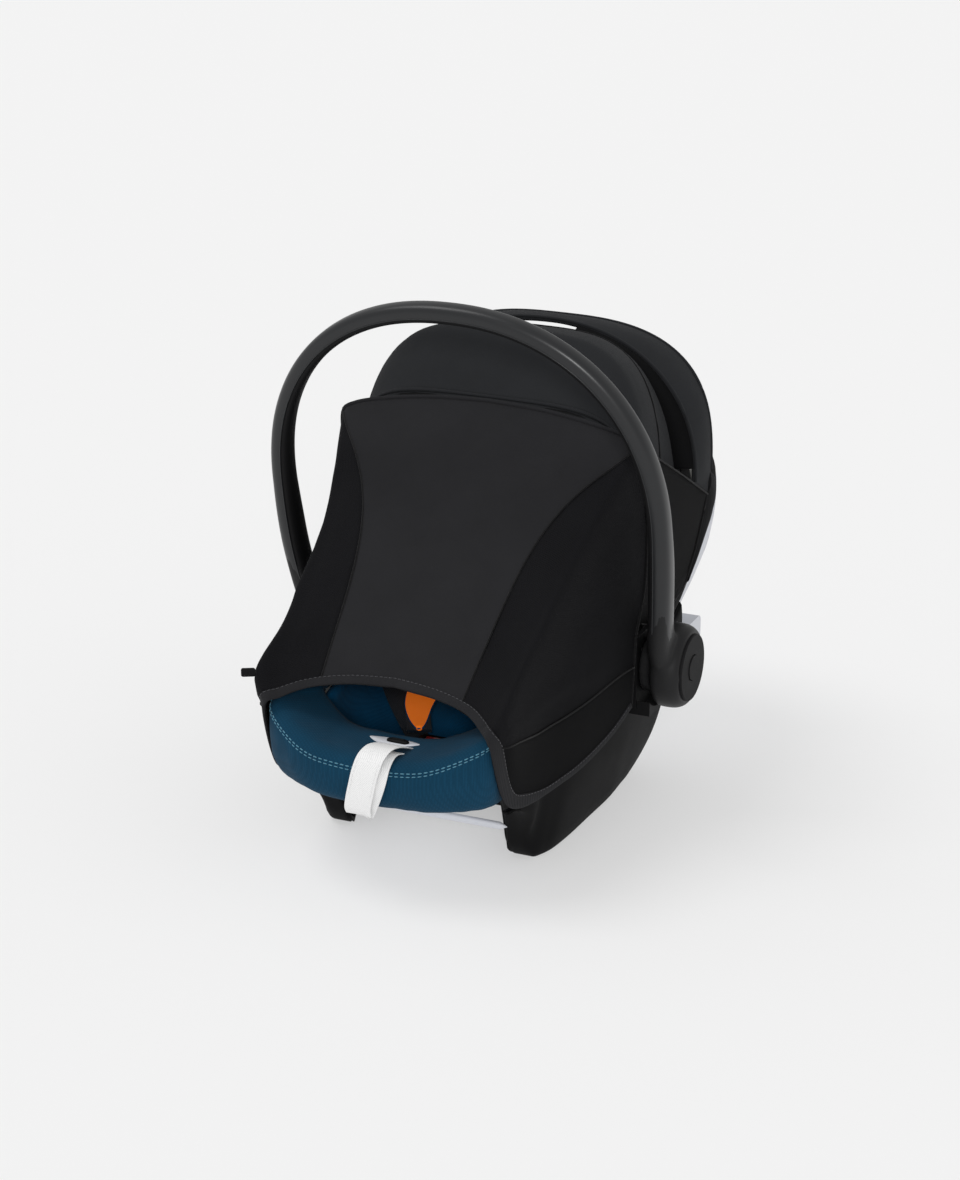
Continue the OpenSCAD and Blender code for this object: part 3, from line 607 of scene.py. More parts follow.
def rounded_bar(name, a, b, ry, rz, material, body="seat", steps=24):
    """Bar along a straight line with an oval section and rounded ends."""
    a, b = Vector(a), Vector(b)
    rings = []
    for k in range(steps + 1):
        f = k / steps
        w = min(1.0, math.sqrt(max(1 - abs(2 * f - 1) ** 90, 0.02)))
        c = a.lerp(b, f)
        rings.append([c + Vector((0, ry * w * signed_power(math.cos(q), 0.6),
                                  rz * w * signed_power(math.sin(q), 0.6)))
                      for q in turns(16)])
    return loft_piece(name, rings, material, body)


BOLSTER_END = 0.318


def bolster_frame(t):
    p = rim(abs(t)) + Vector((0.75, -0.6, 0)) * 8 * math.exp(-((abs(t) - 0.22) / 0.06) ** 2)
    n = Vector((p.x * 0.35, p.y + 160, 0)).normalized()
    if t < 0:
        p, n = flip(p), flip(n)
    return p, n


# Section of the bolster from its tucked lower edge up its leaning face to the crest: steps inwards
# from the rim, and heights: the first four run from 0 at the lower edge to 1 at the seam
BOLSTER_LOW = 97
BOLSTER_FACE = [(-25, 0.0), (-14, 0.06), (-7, 0.22), (-2, 0.5), (-0.5, 0.78)]
BOLSTER_CREST = [(-1.2, 5), (-4.5, 11), (-9.5, 15), (-16, 16.8), (-24, 16.8)]


def bolster_ring(t):
    p, n = bolster_frame(t)
    reach = mix(34, 86, abs(n.y) ** 4)
    up = Vector((0, 0, 1))
    seam_z = p.z + mix(4.5, 9, smooth(abs(t) / BOLSTER_END))
    outline = [p + n * a + up * (mix(BOLSTER_LOW, seam_z, f) - p.z) for a, f in BOLSTER_FACE]
    outline += [p + n * a + up * max(b, seam_z - p.z + 1) for a, b in BOLSTER_CREST]
    for f in (0.25, 0.5, 0.75, 1.0):
        height = mix(16.8, 13.5, f) - 1.2 * math.sin(math.pi * f)
        outline.append(p + n * -mix(24, reach, f) + up * height)
    outline += [p + n * -(reach + 2) + up * 4, p + n * -reach + up * -4, p + n * -26 + up * -10]
    return outline


def make_bolster():
    """Padded roll across the foot end with its two rows of stitches."""
    rings = []
    for t in span(-BOLSTER_END, BOLSTER_END, 64):
        ring = bolster_ring(t)
        end = 1 - smooth((abs(t) - 0.27) / (BOLSTER_END - 0.27))
        middle = sum(ring, Vector()) / len(ring)
        rings.append([middle + (q - middle) * mix(0.72, 1, end) for q in ring])
    pad = loft_piece("bolster_pad", rings, "blue_knit", "seat")
    modifier(pad, "SUBSURF", levels=1, render_levels=1)
    apply_modifiers(pad)
    ripple(pad, 1.4, 38, 3.0)
    ripple(pad, 0.7, 14, 9.0)
    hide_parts("front_bolster")
    for name, f, r in (("bolster_stitch_upper", 0.42, 0.6), ("bolster_stitch_lower", -0.06, 0.5)):
        line = [ring[5].lerp(ring[6] if f > 0 else ring[4], abs(f)) for ring in rings[3:-3]]
        line = [skin_point(pad, q, 0.3) for q in resample(line, 150)]
        stitches(name, line, "stitch_blue", "seat", 4.2, 1.6, r)


def skin_point(piece, p, lift):
    """The nearest point of a piece's surface to p in millimetres, raised by lift."""
    _, where, normal, _ = piece.closest_point_on_mesh(Vector(p) * MM)
    return where * 1000 + normal * lift


def make_liner():
    """Padding of the bowl and the black roll on the rim behind the bolster."""
    liner = bowl_piece("liner_cloth", 33.4, 8, "blue_deep")
    ripple(liner, 2.4, 55, 1.0, lambda p: smooth((p.z - 60) / 30))
    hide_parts("seat_liner")
    path_half = [rim(mix(0.325, 0.998, k / 60)) for k in range(61)]
    rings = []
    path = path_half + [flip(p) for p in reversed(path_half)]
    for p in path:
        deep = rim_deep(p.y)
        c = Vector((p.x * mix(0.9, 0.935, deep), p.y * 0.96, p.z - 1 - 9 * deep))
        out = Vector((p.x, p.y * 0.5, 0)).normalized() * mix(12, 15, deep)
        high = mix(10, 19, deep)
        rings.append([c + out * signed_power(math.cos(q), 0.85)
                      + Vector((0, 0, high * signed_power(math.sin(q), 0.85)))
                      for q in turns(20)])
    roll = loft_piece("rim_roll_cloth", rings, "black_knit", "seat")
    ripple(roll, 1.2, 30, 5.0)
    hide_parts("rim_roll")
    seam = [(r[4] + r[3]) / 2 + Vector((0, 0, 0.3)) for r in rings[2:-2]]
    stitches("rim_stitch", resample(seam, 240), "stitch_grey", "seat", 4, 2.4, 0.45)


# ---- stretch cover -------------------------------------------------------------------------------

# Edges of the cover from the middle of the front to the right hinge: the top one, which turns down
# behind the handle's leg, and the hemmed lower one, which runs round the opening and back
COVER_TOP = [(0, -12, 428), (60, -12, 425), (115, -12, 417), (150, -11, 408), (165, -11, 396),
             (168, -5, 360), (169.3, 1, 310), (170, -4, 250), (170, -26, 204)]
COVER_LOW = [(0, -240, 200), (45, -246, 198), (83, -256, 192), (107, -273, 184), (120, -282, 173),
             (126, -245, 97), (149, -160, 95), (163, -85, 109), (170, -36, 128)]
COVER_HEART = Vector((0, -30, 190))


def cover_point(b, v, out=0.0):
    """b from 0 in the middle to 1 at the corner and 2 at the hinge, v from 0 at the top to 1 below."""
    b = abs(b)
    p = spline(COVER_TOP, b / 2).lerp(spline(COVER_LOW, b / 2), v)
    corner = math.exp(-((b - 1) / 0.35) ** 2)
    flat = 6 * 4 * v * (1 - v) * (1 - smooth(2 * (b - 1)))
    waist = 10 * math.sin(math.pi * min(v / 0.62, 1))
    sag = mix(flat, waist, corner)
    fold_high = 0.12 if v < 0.88 else 0.07
    fold = math.exp(-((b - 1) / 0.27) ** 2) * math.exp(-((v - 0.88) / fold_high) ** 2)
    p += Vector((9, -24, 4)) * fold
    return p + (COVER_HEART - p).normalized() * (sag - out)


def seam_b(v):
    return 0.44 + 0.56 * (1 - v) ** 5


def band_z(y):
    """Height of the seam between the mesh and the knitted band along the side."""
    return 158 + 12 * smooth((-190 - y) / 80) + 12 * smooth((y + 170) / 130)


def band_v(b):
    """Where the band starts, as v in the column b."""
    if cover_point(b, 1).z > band_z(cover_point(b, 1).y):
        return 1.0
    low, high = 0.0, 1.0
    for _ in range(24):
        middle = (low + high) / 2
        p = cover_point(b, middle)
        if p.z > band_z(p.y):
            low = middle
        else:
            high = middle
    return high


def bulge(p):
    """The padded rim pressing on the mesh from inside."""
    line = 186 + 4 * smooth((p.y + 200) / 80)
    reach = smooth((p.y + 290) / 60) * smooth((-90 - p.y) / 60)
    return 3.5 * math.exp(-((p.z - line) / 9) ** 2) * reach


def place_side(p, side):
    return p if side > 0 else flip(p)


def make_cover_side(side, word):
    """Net side panel, the knitted band below it, and their seams and bindings."""
    rows = []
    for v in span(0, 1, 48):
        row = []
        for k in span(0, 1, 40):
            stop = band_v(mix(seam_b(1), 2, k))
            b = mix(seam_b(v * stop), 2, k)
            q = cover_point(b, v * band_v(b))
            q += (q - COVER_HEART).normalized() * bulge(q)
            row.append(place_side(q, side))
        rows.append(row)
    mesh = grid_sheet("cover_mesh_" + word, rows, 1.2, "cover_mesh", None, COVER_HEART)
    drape(mesh)
    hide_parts("cover_side_" + word)
    starts = [b for b in span(1.0, 2, 60) if band_v(b) < 0.995]
    rows = [[place_side(cover_point(b, mix(band_v(b), 1, f), 0.3), side) for b in starts]
            for f in span(0, 1, 12)]
    band = grid_sheet("cover_band_" + word, rows, 1.8, "skirt_cloth", "seat", COVER_HEART)
    side_seam = [place_side(cover_point(b, band_v(b), 0.7), side) for b in starts]
    tube_piece("cover_band_seam_" + word, resample(side_seam, 60), 0.9, "thread_black", "seat")
    seam = [place_side(cover_point(seam_b(v), v, 0.5), side) for v in span(0.01, 0.985, 80)]
    line = tube_piece("cover_seam_" + word, resample(seam, 80), 0.9, "thread_black", None)
    follow_bow(line)
    follow_bow(mesh)
    binding = [place_side(cover_point(b, 0.0, 0.4), side) for b in span(1.0, 2.0, 50)]
    binding = tube_piece("cover_side_binding_" + word, resample(binding, 60), 1.4, "thread_black", None)
    follow_bow(binding)
    back = [place_side(cover_point(2.0, v, 0.4), side) for v in span(0, 1, 20)]
    tube_piece("cover_back_binding_" + word, resample(back, 24), 1.2, "thread_black", "seat")
    return mesh, band


def make_cover():
    """Dense centre panel, then the side panels and the hem."""
    rows = [[place_side(cover_point(seam_b(v) * abs(k) / 36, v), 1 if k >= 0 else -1) for k in range(-36, 37)]
            for v in span(0, 1, 56)]
    centre = grid_sheet("cover_centre_cloth", rows, 1.5, "cover_cloth", None, COVER_HEART)
    drape(centre)
    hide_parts("cover_centre")
    top_edge = [place_side(cover_point(abs(b), 0.004, 0.6), 1 if b >= 0 else -1)
                for b in span(-1, 1, 100)]
    edge = tube_piece("cover_top_binding", resample(top_edge, 90), 1.5, "cover_cloth", None,
                      r2=1.9)
    follow_bow(edge)
    sides = [(word, *make_cover_side(side, word)) for side, word in SIDES]
    make_hem()
    follow_bow(centre)


def drape(piece):
    ripple(piece, 1.6, 90, 2.0, lambda p: smooth((400 - p.z) / 60))
    ripple(piece, 0.5, 26, 4.0, lambda p: smooth((400 - p.z) / 60))


def follow_bow(piece):
    """Bakes the piece's placement into its mesh."""
    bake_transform(piece)


def make_hem():
    """Turned-under edge of the cover, lying flat along the cloth."""
    bs = span(-2, 2, 260)
    path = [place_side(cover_point(b, 1), b) for b in bs]
    rings = []
    for i, (p, b) in enumerate(zip(path, bs)):
        along, _, _ = frame_at(path, i)
        up = place_side(cover_point(b, 0.96), b) - p
        up = (up - along * up.dot(along)).normalized()
        out = along.cross(up)
        if out.dot(p - COVER_HEART) < 0:
            out = -out
        front = smooth((-180 - p.y) / 60)
        half_w, half_t = mix(3.4, mix(7.5, 4.8, smooth((p.z - 165) / 25)), front), mix(1.3, 1.6, front)
        centre = p + up * half_w * 0.85
        rings.append([centre + up * half_w * signed_power(math.cos(q), 0.6)
                      + out * (half_t * signed_power(math.sin(q), 0.8) + 0.5)
                      for q in turns(16)])
    hem = loft_piece("hem_band", rings, "hem_cloth", "seat")
    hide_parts("cover_hem")
    line = [(r[2] if r[2].dot(r[2] - r[14]) > r[14].dot(r[2] - r[14]) else r[14]) for r in rings[2:-2]]
    line = [skin_point(hem, q, 0.3) for q in resample(line, 300)]
    stitches("hem_stitch", line, "stitch_grey", "seat", 2.8, 2.0, 0.35)
    tag = rounded_plate("side_tag", (-136.5, -284, 209), 14, 9, 1.6, "black_knit", turn=28)
    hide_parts("cover_tag")


def rounded_plate(name, centre, width, height, thick, material, turn=0, corner=2.0):
    """Small upright plate with rounded corners and soft edges."""
    verts, faces, ring = [], [], []
    for cx, cz, start in ((1, 1, 0), (-1, 1, 90), (-1, -1, 180), (1, -1, 270)):
        for k in range(5):
            a = math.radians(start + 22.5 * k)
            ring.append((cx * (width / 2 - corner) + corner * math.cos(a),
                         cz * (height / 2 - corner) + corner * math.sin(a)))
    n = len(ring)
    spin = Matrix.Rotation(math.radians(turn), 3, "Z")
    for depth, scale in ((-1, 0.93), (-0.6, 1), (0.6, 1), (1, 0.93)):
        for x, z in ring:
            verts.append(Vector(centre) + spin @ Vector((x * scale, depth * thick / 2, z * scale)))
    for j in range(3):
        faces += [(j * n + i, j * n + (i + 1) % n, (j + 1) * n + (i + 1) % n, (j + 1) * n + i)
                  for i in range(n)]
    faces += [tuple(range(n)), tuple(range(3 * n, 4 * n))]
    return add_piece(name, verts, faces, material, "seat")


# ---- canopy --------------------------------------------------------------------------------------

CANOPY_Y, CANOPY_Z = 20, 190
FRONT_ANGLE, BROW_ANGLE, FOLD_END, REAR_ANGLE = -6.7, 6, 45, 64
CANOPY_W = 163
HINGE_C = 0.6


def dome(a, c, inside=0.0):
    """a is the fan angle back from upright, c runs from 0 at the right hinge to 180 at the left."""
    brow = (a - FRONT_ANGLE) / (BROW_ANGLE - FRONT_ANGLE)
    n = mix(5, 4, brow) if a < BROW_ANGLE else mix(4, 3.2, smooth((a - BROW_ANGLE) / 20))
    r = mix(240, 300, smooth(brow)) - inside
    x = (CANOPY_W - inside) * signed_power(math.cos(math.radians(c)), 2 / n)
    r *= abs(math.sin(math.radians(c))) ** (2 / n)
    turn = math.radians(a)
    return Vector((x, CANOPY_Y + r * math.sin(turn), CANOPY_Z + r * math.cos(turn)))


def dome_row(a, inside=0.0, count=90):
    """Points from hinge to hinge at even distances."""
    return resample([dome(a, c, inside) for c in span(HINGE_C, 180 - HINGE_C, count)], count + 1)


def hoop_point(f, c, inside=0.0):
    n = mix(2.2, 2.9, f)
    x = (172 - inside) * signed_power(math.cos(math.radians(c)), 2 / n)
    z = 318 + (mix(159, 151, f) - inside) * abs(math.sin(math.radians(c))) ** (2 / n)
    return Vector((x, mix(138, 188, f), z))


def make_canopy():
    """Visor, fixed rear cloth, brow strip, hoop and side cloths."""
    rows = [dome_row(mix(FRONT_ANGLE + 0.6, FOLD_END, k / 44)) for k in range(45)]
    visor = grid_sheet("visor_cloth", rows, 1.6, "canopy_cloth", None, (0, 40, 200))
    ripple(visor, 1.6, 70, 6.0, lambda p: smooth((p.z - 215) / 40))
    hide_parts("canopy_visor")
    ends = fold_ends()
    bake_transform(visor)
    rows = [dome_row(mix(FOLD_END, REAR_ANGLE, k / 14)) for k in range(15)]
    # The rear cloth takes the dark skirt cloth instead of the canopy cloth: painted shade, as this middle
    # part of the canopy faces away from the light.
    rear = grid_sheet("rear_cloth", rows, 2.0, "skirt_cloth", "seat", (0, 40, 200))
    ripple(rear, 1.2, 60, 8.0, lambda p: smooth((p.z - 215) / 40))
    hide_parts("canopy_rear")
    for name, a in (("fold_seam_front", 18), ("fold_seam_rear", FOLD_END)):
        line = dome_row(a, -0.4, 80)
        body = "seat" if a == FOLD_END else "canopy_mid"
        tube_piece(name, line[4:-4], 0.8, "thread_black", body)
    tube_piece("visor_binding", dome_row(FRONT_ANGLE + 0.5, -0.6, 90), 1.8, "canopy_cloth", "canopy_front")
    brow = [[], []]
    for x in span(-160, 160, 90):
        b = next(k / 400 for k in range(401) if spline(COVER_TOP, k / 800).x >= abs(x) - 0.4)
        brow[0].append(place_side(cover_point(b, 0, -1.0), x))
        brow[1].append(dome_at(FRONT_ANGLE + 1.6, x, 1.2))
    fold = grid_sheet("brow_fold", brow, 1.2, "canopy_cloth", "canopy_front", (0, 40, 200))
    make_hoop()
    both_sides(make_skirt)


def dome_at(a, x, inside=0.0):
    """Point of the canopy at fan angle a with the given x."""
    low, high = (0, 90) if x > 0 else (90, 180)
    for _ in range(30):
        middle = (low + high) / 2
        if dome(a, middle, inside).x > x:
            low = middle
        else:
            high = middle
    return dome(a, low, inside)


def in_dome(p):
    """True where a point lies under the canopy's outer face."""
    a = math.degrees(math.atan2(p.y - CANOPY_Y, p.z - CANOPY_Z))
    edge = dome_at(a, max(-162.5, min(162.5, p.x)))
    reach = math.hypot(edge.y - CANOPY_Y, edge.z - CANOPY_Z)
    return math.hypot(p.y - CANOPY_Y, p.z - CANOPY_Z) < reach and abs(p.x) < 163


# Lower edge of the canopy's side cloth, along the padded rim, and the outline of the pad behind it
SKIRT_LOW = [(165.5, -3, 207), (166, 42, 194), (168, 111, 204), (168.5, 141, 226), (169, 161, 251),
             (169, 175, 273), (170, 181, 291)]
EAR_OUTLINE = [(168, 126, 208), (168, 158, 226), (168, 186, 246), (169, 206, 264), (170.5, 212, 286),
               (171, 205, 304), (171.5, 186, 316)]


def make_skirt(side, word):
    """Side cloth between the canopy and the padded rim, with the pad behind it."""
    rows = []
    for f in span(0, 1, 14):
        crown = Vector((1.5 * math.sin(math.pi * f), 0, 0))
        row = []
        for k in range(31):
            low = spline(SKIRT_LOW, k / 30)
            y = mix(-3, 182, k / 30)
            high = Vector((mix(165.5, 170.5, smooth(k / 20)), y, 361 - 0.56 * (y - 57)))
            row.append(place_side(high.lerp(low, f) + crown, side))
        rows.append(row)
    cloth = grid_sheet("side_skirt_" + word, rows, 1.8, "skirt_cloth", "seat", (0, 100, 280))
    for name, line in (("skirt_seam_top_", rows[0]), ("skirt_seam_low_", rows[-1])):
        line = resample([p + Vector((side * 1.0, 0, 0)) for p in line], 60)
        tube_piece(name + word, line, 0.9, "thread_black", "seat")
    rows = []
    for j in range(9):
        row = []
        for k in range(31):
            p = spline(SKIRT_LOW, mix(0.42, 1, k / 30)).lerp(spline(EAR_OUTLINE, k / 30), j / 8)
            row.append(place_side(p + Vector((4 * math.sin(math.pi * j / 8), 0, 0)), side))
        rows.append(row)
    ear = grid_sheet("ear_pad_" + word, rows, 6, "black_knit", "seat", (0, 160, 260))


def fold_ends():
    """Straight line from the fixed fold to the front bow over the crown, in metres."""
    made = []
    for a in (FOLD_END, FRONT_ANGLE):
        p = dome(a, 90)
        made.append(tuple(p * MM))
    return made


def make_hoop():
    columns = 96
    rows = []
    for j in range(21):
        f = j / 20
        lift = 3.0 * math.sin(math.pi * f)
        row = []
        for k in range(columns + 1):
            p = hoop_point(f, 180 * k / columns)
            centre = Vector((0, p.y, 318))
            row.append(p + (p - centre).normalized() * lift)
        foot = [Vector((171.5, row[0].y, 318 - mix(1, 30, f) * d)) for d in (1, 0.5)]
        rows.append([*foot, *row, *(flip(p) for p in reversed(foot))])
    hoop = grid_sheet("hoop_cloth", rows, 4.5, "canopy_cloth", "seat", (0, 163, 318))
    ripple(hoop, 1.0, 45, 11.0)
    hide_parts("canopy_hoop")
    for name, f in (("hoop_piping_front", 0.02), ("hoop_piping_rear", 0.98)):
        line = resample([hoop_point(f, 180 * k / 90, -0.6) for k in range(91)], 90)
        tube_piece(name, line, 1.7, "canopy_cloth", "seat")

    def fill(side, word):
        """Cloth from the hoop's front edge forward to the canopy, short of the crown."""
        rows = [[], []]
        for k in range(61):
            p = hoop_point(0, mix(4, 79, k / 60), 1.5)
            centre, step = Vector((0, 140, 330)), 0.0
            while step < 60 and not in_dome(p + (centre - p).normalized() * step + Vector((0, -10, 0))):
                step += 1.0
            low = p + (centre - p).normalized() * (step + 1.5) + Vector((0, -10, 0))
            rows[0].append(place_side(p, side))
            rows[1].append(place_side(low, side))
        # Dark skirt cloth here is painted shade in the recess between the hoop and the canopy.
        cloth = grid_sheet("hoop_fill_" + word, rows, 1.4, "skirt_cloth", "seat",
                           (0, 163, 318))
    both_sides(fill)


# ---- handle and hubs -----------------------------------------------------------------------------

PIVOT = Vector((0, 7, 164))
LEAN, BOW_OFFSET = math.radians(11.3), 37
BOW_X, BOW_TOP, BOW_WIDE, BOW_N = 207, 384, 170, 2.2
LEG_FOOT, LEG_BEND, LEG_SWEEP = 30, 110, 14


def bow_line(u):
    if u > 0.5:
        x, q = bow_line(1 - u)
        return -x, q
    if u < 0.25:
        q = mix(LEG_FOOT, BOW_WIDE, u / 0.25)
        return BOW_X - 8.5 * ((BOW_WIDE - q) / (BOW_WIDE - 40)) ** 2, q
    a = math.pi * (u - 0.25) / 0.5
    return (BOW_X * signed_power(math.cos(a), 2 / BOW_N),
            BOW_WIDE + (BOW_TOP - BOW_WIDE) * math.sin(a) ** (2 / BOW_N))


def bow_place(x, q, deep):
    sweep = LEG_SWEEP * max(0, 1 - q / LEG_BEND) ** 2
    return Vector((x, PIVOT.y - BOW_OFFSET - q * math.sin(LEAN) + deep * math.cos(LEAN) + sweep,
                   PIVOT.z + q * math.cos(LEAN) + deep * math.sin(LEAN)))


def even_bow(count):
    """Parameters u at even spacing along the bow."""
    us = [k / 600 for k in range(601)]
    run = [0.0]
    for a, b in zip(us, us[1:]):
        p, q = bow_line(a), bow_line(b)
        run.append(run[-1] + math.hypot(q[0] - p[0], q[1] - p[1]))
    made, i = [], 0
    for k in range(count + 1):
        s = run[-1] * k / count
        while i < len(run) - 2 and run[i + 1] < s:
            i += 1
        made.append(mix(us[i], us[i + 1], (s - run[i]) / max(run[i + 1] - run[i], 1e-9)))
    return made


def bow_section(u, outline):
    x, q = bow_line(u)
    a, b = bow_line(max(u - 0.004, 0)), bow_line(min(u + 0.004, 1))
    t = Vector((b[0] - a[0], b[1] - a[1]))
    t.normalize()
    top = smooth(math.sin(math.pi * min(max((u - 0.15) / 0.7, 0), 1)))
    half_in, half_deep = mix(12, 10, top), mix(15.5, 11.5, top)
    return [bow_place(x + t.y * o * half_in, q - t.x * o * half_in, d * half_deep) for o, d in outline]


def half_outline(side, swell):
    """D-shaped half of the bow's section, out and deep from -1 to 1."""
    start = -0.3
    arc = []
    for k in range(15):
        a = math.radians(mix(-90, 90, k / 14))
        c = signed_power(math.cos(a), 0.72)
        arc.append((mix(start, side, c) * swell, signed_power(math.sin(a), 0.72) * swell))
    flat = [(start, mix(0.85, -0.85, k / 4)) for k in range(5)]
    return arc + flat


def make_handle():
    """Two mouldings that meet on a ridge line, and the hubs."""
    us = even_bow(200)
    for name, side, swell, slot, cad in (("handle_skin", 1, 1.0, "handle_skin", "handle_outer"),
                                         ("handle_core", -1, 0.95, "black_trim", "handle_inner")):
        rings = [bow_section(u, half_outline(side, swell)) for u in us]
        piece = loft_piece(name, rings, name, "handle")
        soften(piece, 0.8, 2, 50)
        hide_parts(cad)
    for name, deep in (("handle_ridge_front", -1), ("handle_ridge_back", 1)):
        path = [bow_section(u, [(-0.3, deep * 0.985)])[0] for u in us[6:-6]]
        tube_piece(name, path, 0.7, "handle_skin", "handle", sides=8)
    both_sides(make_hub)


# Distance from the middle plane and radius, from the bore round the drum's outside
HUB_PROFILE = [(172.6, 9.6), (172.6, 31), (185, 31.5), (188, 39), (189.5, 42), (192, 43.6), (196, 44),
               (204, 44), (209, 43.4), (213, 42), (216.4, 39.8), (218.6, 37.2), (219.4, 35.6), (217.6, 35.4),
               (217.6, 9.6)]

# Foot of the leg below the bow: height up the bow's plane, half width, half depth, shift back
LEG_FOOT_STATIONS = [(84, 11.6, 15.2, 0), (66, 11.8, 15.6, 0), (50, 12.0, 17.5, 1), (36, 12.2, 21, 4),
                     (22, 12.4, 25, 9), (8, 12.4, 27, 16), (-6, 12.0, 24, 24)]


def make_hub(side, word):
    """Drum of the hub with the leg's foot flowing into it."""
    bm = bmesh.new()
    n = 96
    rings = []
    for x, r in HUB_PROFILE:
        rings.append([bm.verts.new(Vector((x * side, PIVOT.y + r * math.cos(q),
                                           PIVOT.z + r * math.sin(q))) * MM) for q in turns(n)])
    for a, b in zip(rings, rings[1:] + rings[:1]):
        for i in range(n):
            bm.faces.new((a[i], a[(i + 1) % n], b[(i + 1) % n], b[i]))
    foot = []
    for q, half_w, half_d, back in LEG_FOOT_STATIONS:
        x = BOW_X - 8.5 * min(1.0, ((BOW_WIDE - q) / (BOW_WIDE - 40))) ** 2
        ring = []
        for a in turns(32):
            p = bow_place(x + half_w * signed_power(math.cos(a), 0.72), q,
                          half_d * signed_power(math.sin(a), 0.72))
            ring.append(bm.verts.new(Vector((p.x * side, p.y + back, p.z)) * MM))
        foot.append(ring)
    for a, b in zip(foot, foot[1:]):
        for i in range(32):
            bm.faces.new((a[i], a[(i + 1) % 32], b[(i + 1) % 32], b[i]))
    bm.faces.new(foot[0])
    bm.faces.new(foot[-1])
    mesh = bpy.data.meshes.new("hub_body_" + word)
    bm.to_mesh(mesh)
    bm.free()
    hub = bpy.data.objects.new("hub_body_" + word, mesh)
    bpy.context.scene.collection.objects.link(hub)
    fix_normals(hub)
    modifier(hub, "REMESH", mode="VOXEL", voxel_size=1.6 * MM, use_smooth_shade=True)
    modifier(hub, "SMOOTH", factor=0.5, iterations=16)
    apply_modifiers(hub)
    hub.data.materials.clear()
    hub.data.materials.append(MATERIALS["hub_plastic"])
    hub.data.polygons.foreach_set("use_smooth", [True] * len(hub.data.polygons))
    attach(hub, "handle")
    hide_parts("hub_" + word)


# ---- harness, pads and strap ---------------------------------------------------------------------

# Middle line of the pull strap's front ply from the adjuster over the bolster and down, and of the
# ply that comes back up behind it
STRAP = [(19, -258, 146), (18, -276, 155), (16, -294, 162), (13.5, -307, 162.5), (10.5, -317, 156),
         (6.5, -321, 142), (3, -322, 126), (0, -322, 112), (-1.5, -321.5, 103)]
STRAP_BACK = [(-1, -320, 98.5), (-0.4, -317.5, 97), (0.6, -316.6, 100), (4.5, -317.4, 110),
              (9.5, -318.6, 122), (14, -318, 136), (16, -313, 149), (17, -300, 156), (18, -280, 150),
              (19, -262, 142)]


def webbing_piece(name, path, width, thick, material, body, across=(1, 0, 0)):
    """Flat strap with rounded edges and a shallow crown."""
    outline = [(-1, 0), (-0.97, 0.7), (-0.9, 1), (-0.4, 1.05), (0.4, 1.05), (0.9, 1), (0.97, 0.7), (1, 0),
               (0.97, -0.7), (0.9, -1), (0.4, -1.0), (-0.4, -1.0), (-0.9, -1), (-0.97, -0.7)]
    rings = []
    last = len(path) - 1
    for i, p in enumerate(path):
        t = (Vector(path[min(i + 1, last)]) - Vector(path[max(i - 1, 0)])).normalized()
        w = (Vector(across) - t * Vector(across).dot(t)).normalized()
        up = t.cross(w)
        rings.append([Vector(p) + w * a * width / 2 + up * b * thick / 2 for a, b in outline])
    piece = loft_piece(name, rings, material, body)
    layer = piece.data.uv_layers.new(name="UVMap")
    for loop in piece.data.loops:
        co = piece.data.vertices[loop.vertex_index].co
        layer.data[loop.index].uv = (co.x, co.z - co.y)
    return piece


def make_strap():
    """White pull strap folded over the bolster."""
    front = resample(curve(STRAP, 60), 70)
    path = resample(front + curve(STRAP_BACK, 60), 130)
    strap = webbing_piece("pull_strap", path, 28, 1.5, "white_strap", "seat")
    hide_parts("adjuster_strap")
    for name, x in (("strap_edge_left", -11.5), ("strap_edge_right", 11.5)):
        line = [p + Vector((x, -1.1, 0)) for p in path[24:58]]
        stitches(name, line, "white_strap", "seat", 2.6, 2.0, 0.3)


def slope_point(x, y, z):
    """Point on the bolster's inner slope: local x, y along the slope and z off it."""
    tilt = math.radians(-9)
    return Vector((x, -255 + y * math.cos(tilt) - z * math.sin(tilt),
                   148.4 + y * math.sin(tilt) + z * math.cos(tilt)))


def make_adjuster():
    """Pale crescent bezel with the ribbed release button inside it."""
    rings = []
    for half_x, half_y, z in ((32.0, 10.6, -4), (32.2, 10.8, -1.0), (31.4, 10.2, 0.6), (29.4, 8.4, 1.4),
                              (20, 5, 1.8), (8, 2, 1.9)):
        ring = []
        for q in turns(72):
            x, y = half_x * signed_power(math.cos(q), 0.9), half_y * signed_power(math.sin(q), 0.9)
            y *= 1 - 0.75 * (x / 32.5) ** 2
            ring.append(slope_point(x + 8, y + 3.0 * (x / 32) ** 2, z))
        rings.append(ring)
    bezel = loft_piece("adjuster_bezel", rings, "pale_shell", "seat")
    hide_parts("adjuster_housing")
    rings = []
    for half_x, half_y, z in ((11.5, 4.6, 0.6), (11.5, 4.6, 3.0), (10.9, 4.0, 4.0), (9.4, 2.8, 4.5)):
        rings.append([slope_point(12 + half_x * signed_power(math.cos(q), 0.7),
                                  half_y * signed_power(math.sin(q), 0.7) - 3, z)
                      for q in turns(40)])
    key = loft_piece("adjuster_key", rings, "black_trim", "adjuster_release")
    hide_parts("adjuster_button")
    for k in (-1, 0, 1):
        line = [slope_point(12 + mix(-7, 7, i / 8), 1.6 * k - 3, 4.6) for i in range(9)]
        tube_piece("adjuster_rib_%d" % (k + 2), line, 0.5, "black_trim", "adjuster_release",
                   sides=8)


def super_pad(name, stations, material, body, to_world=None, sides=40, power=2.6):
    """Crowned cushion from sections along Y: (y, half width, half height, z)."""
    rings = []
    for f in span(0, 1, 60):
        y, half_w, half_h, z = spline4(stations, f)
        ring = []
        for q in turns(sides):
            p = Vector((half_w * signed_power(math.cos(q), 2 / power), y,
                        z + half_h * signed_power(math.sin(q), 2 / power)))
            ring.append(to_world(p) if to_world else p)
        rings.append(ring)
    return loft_piece(name, rings, material, body)


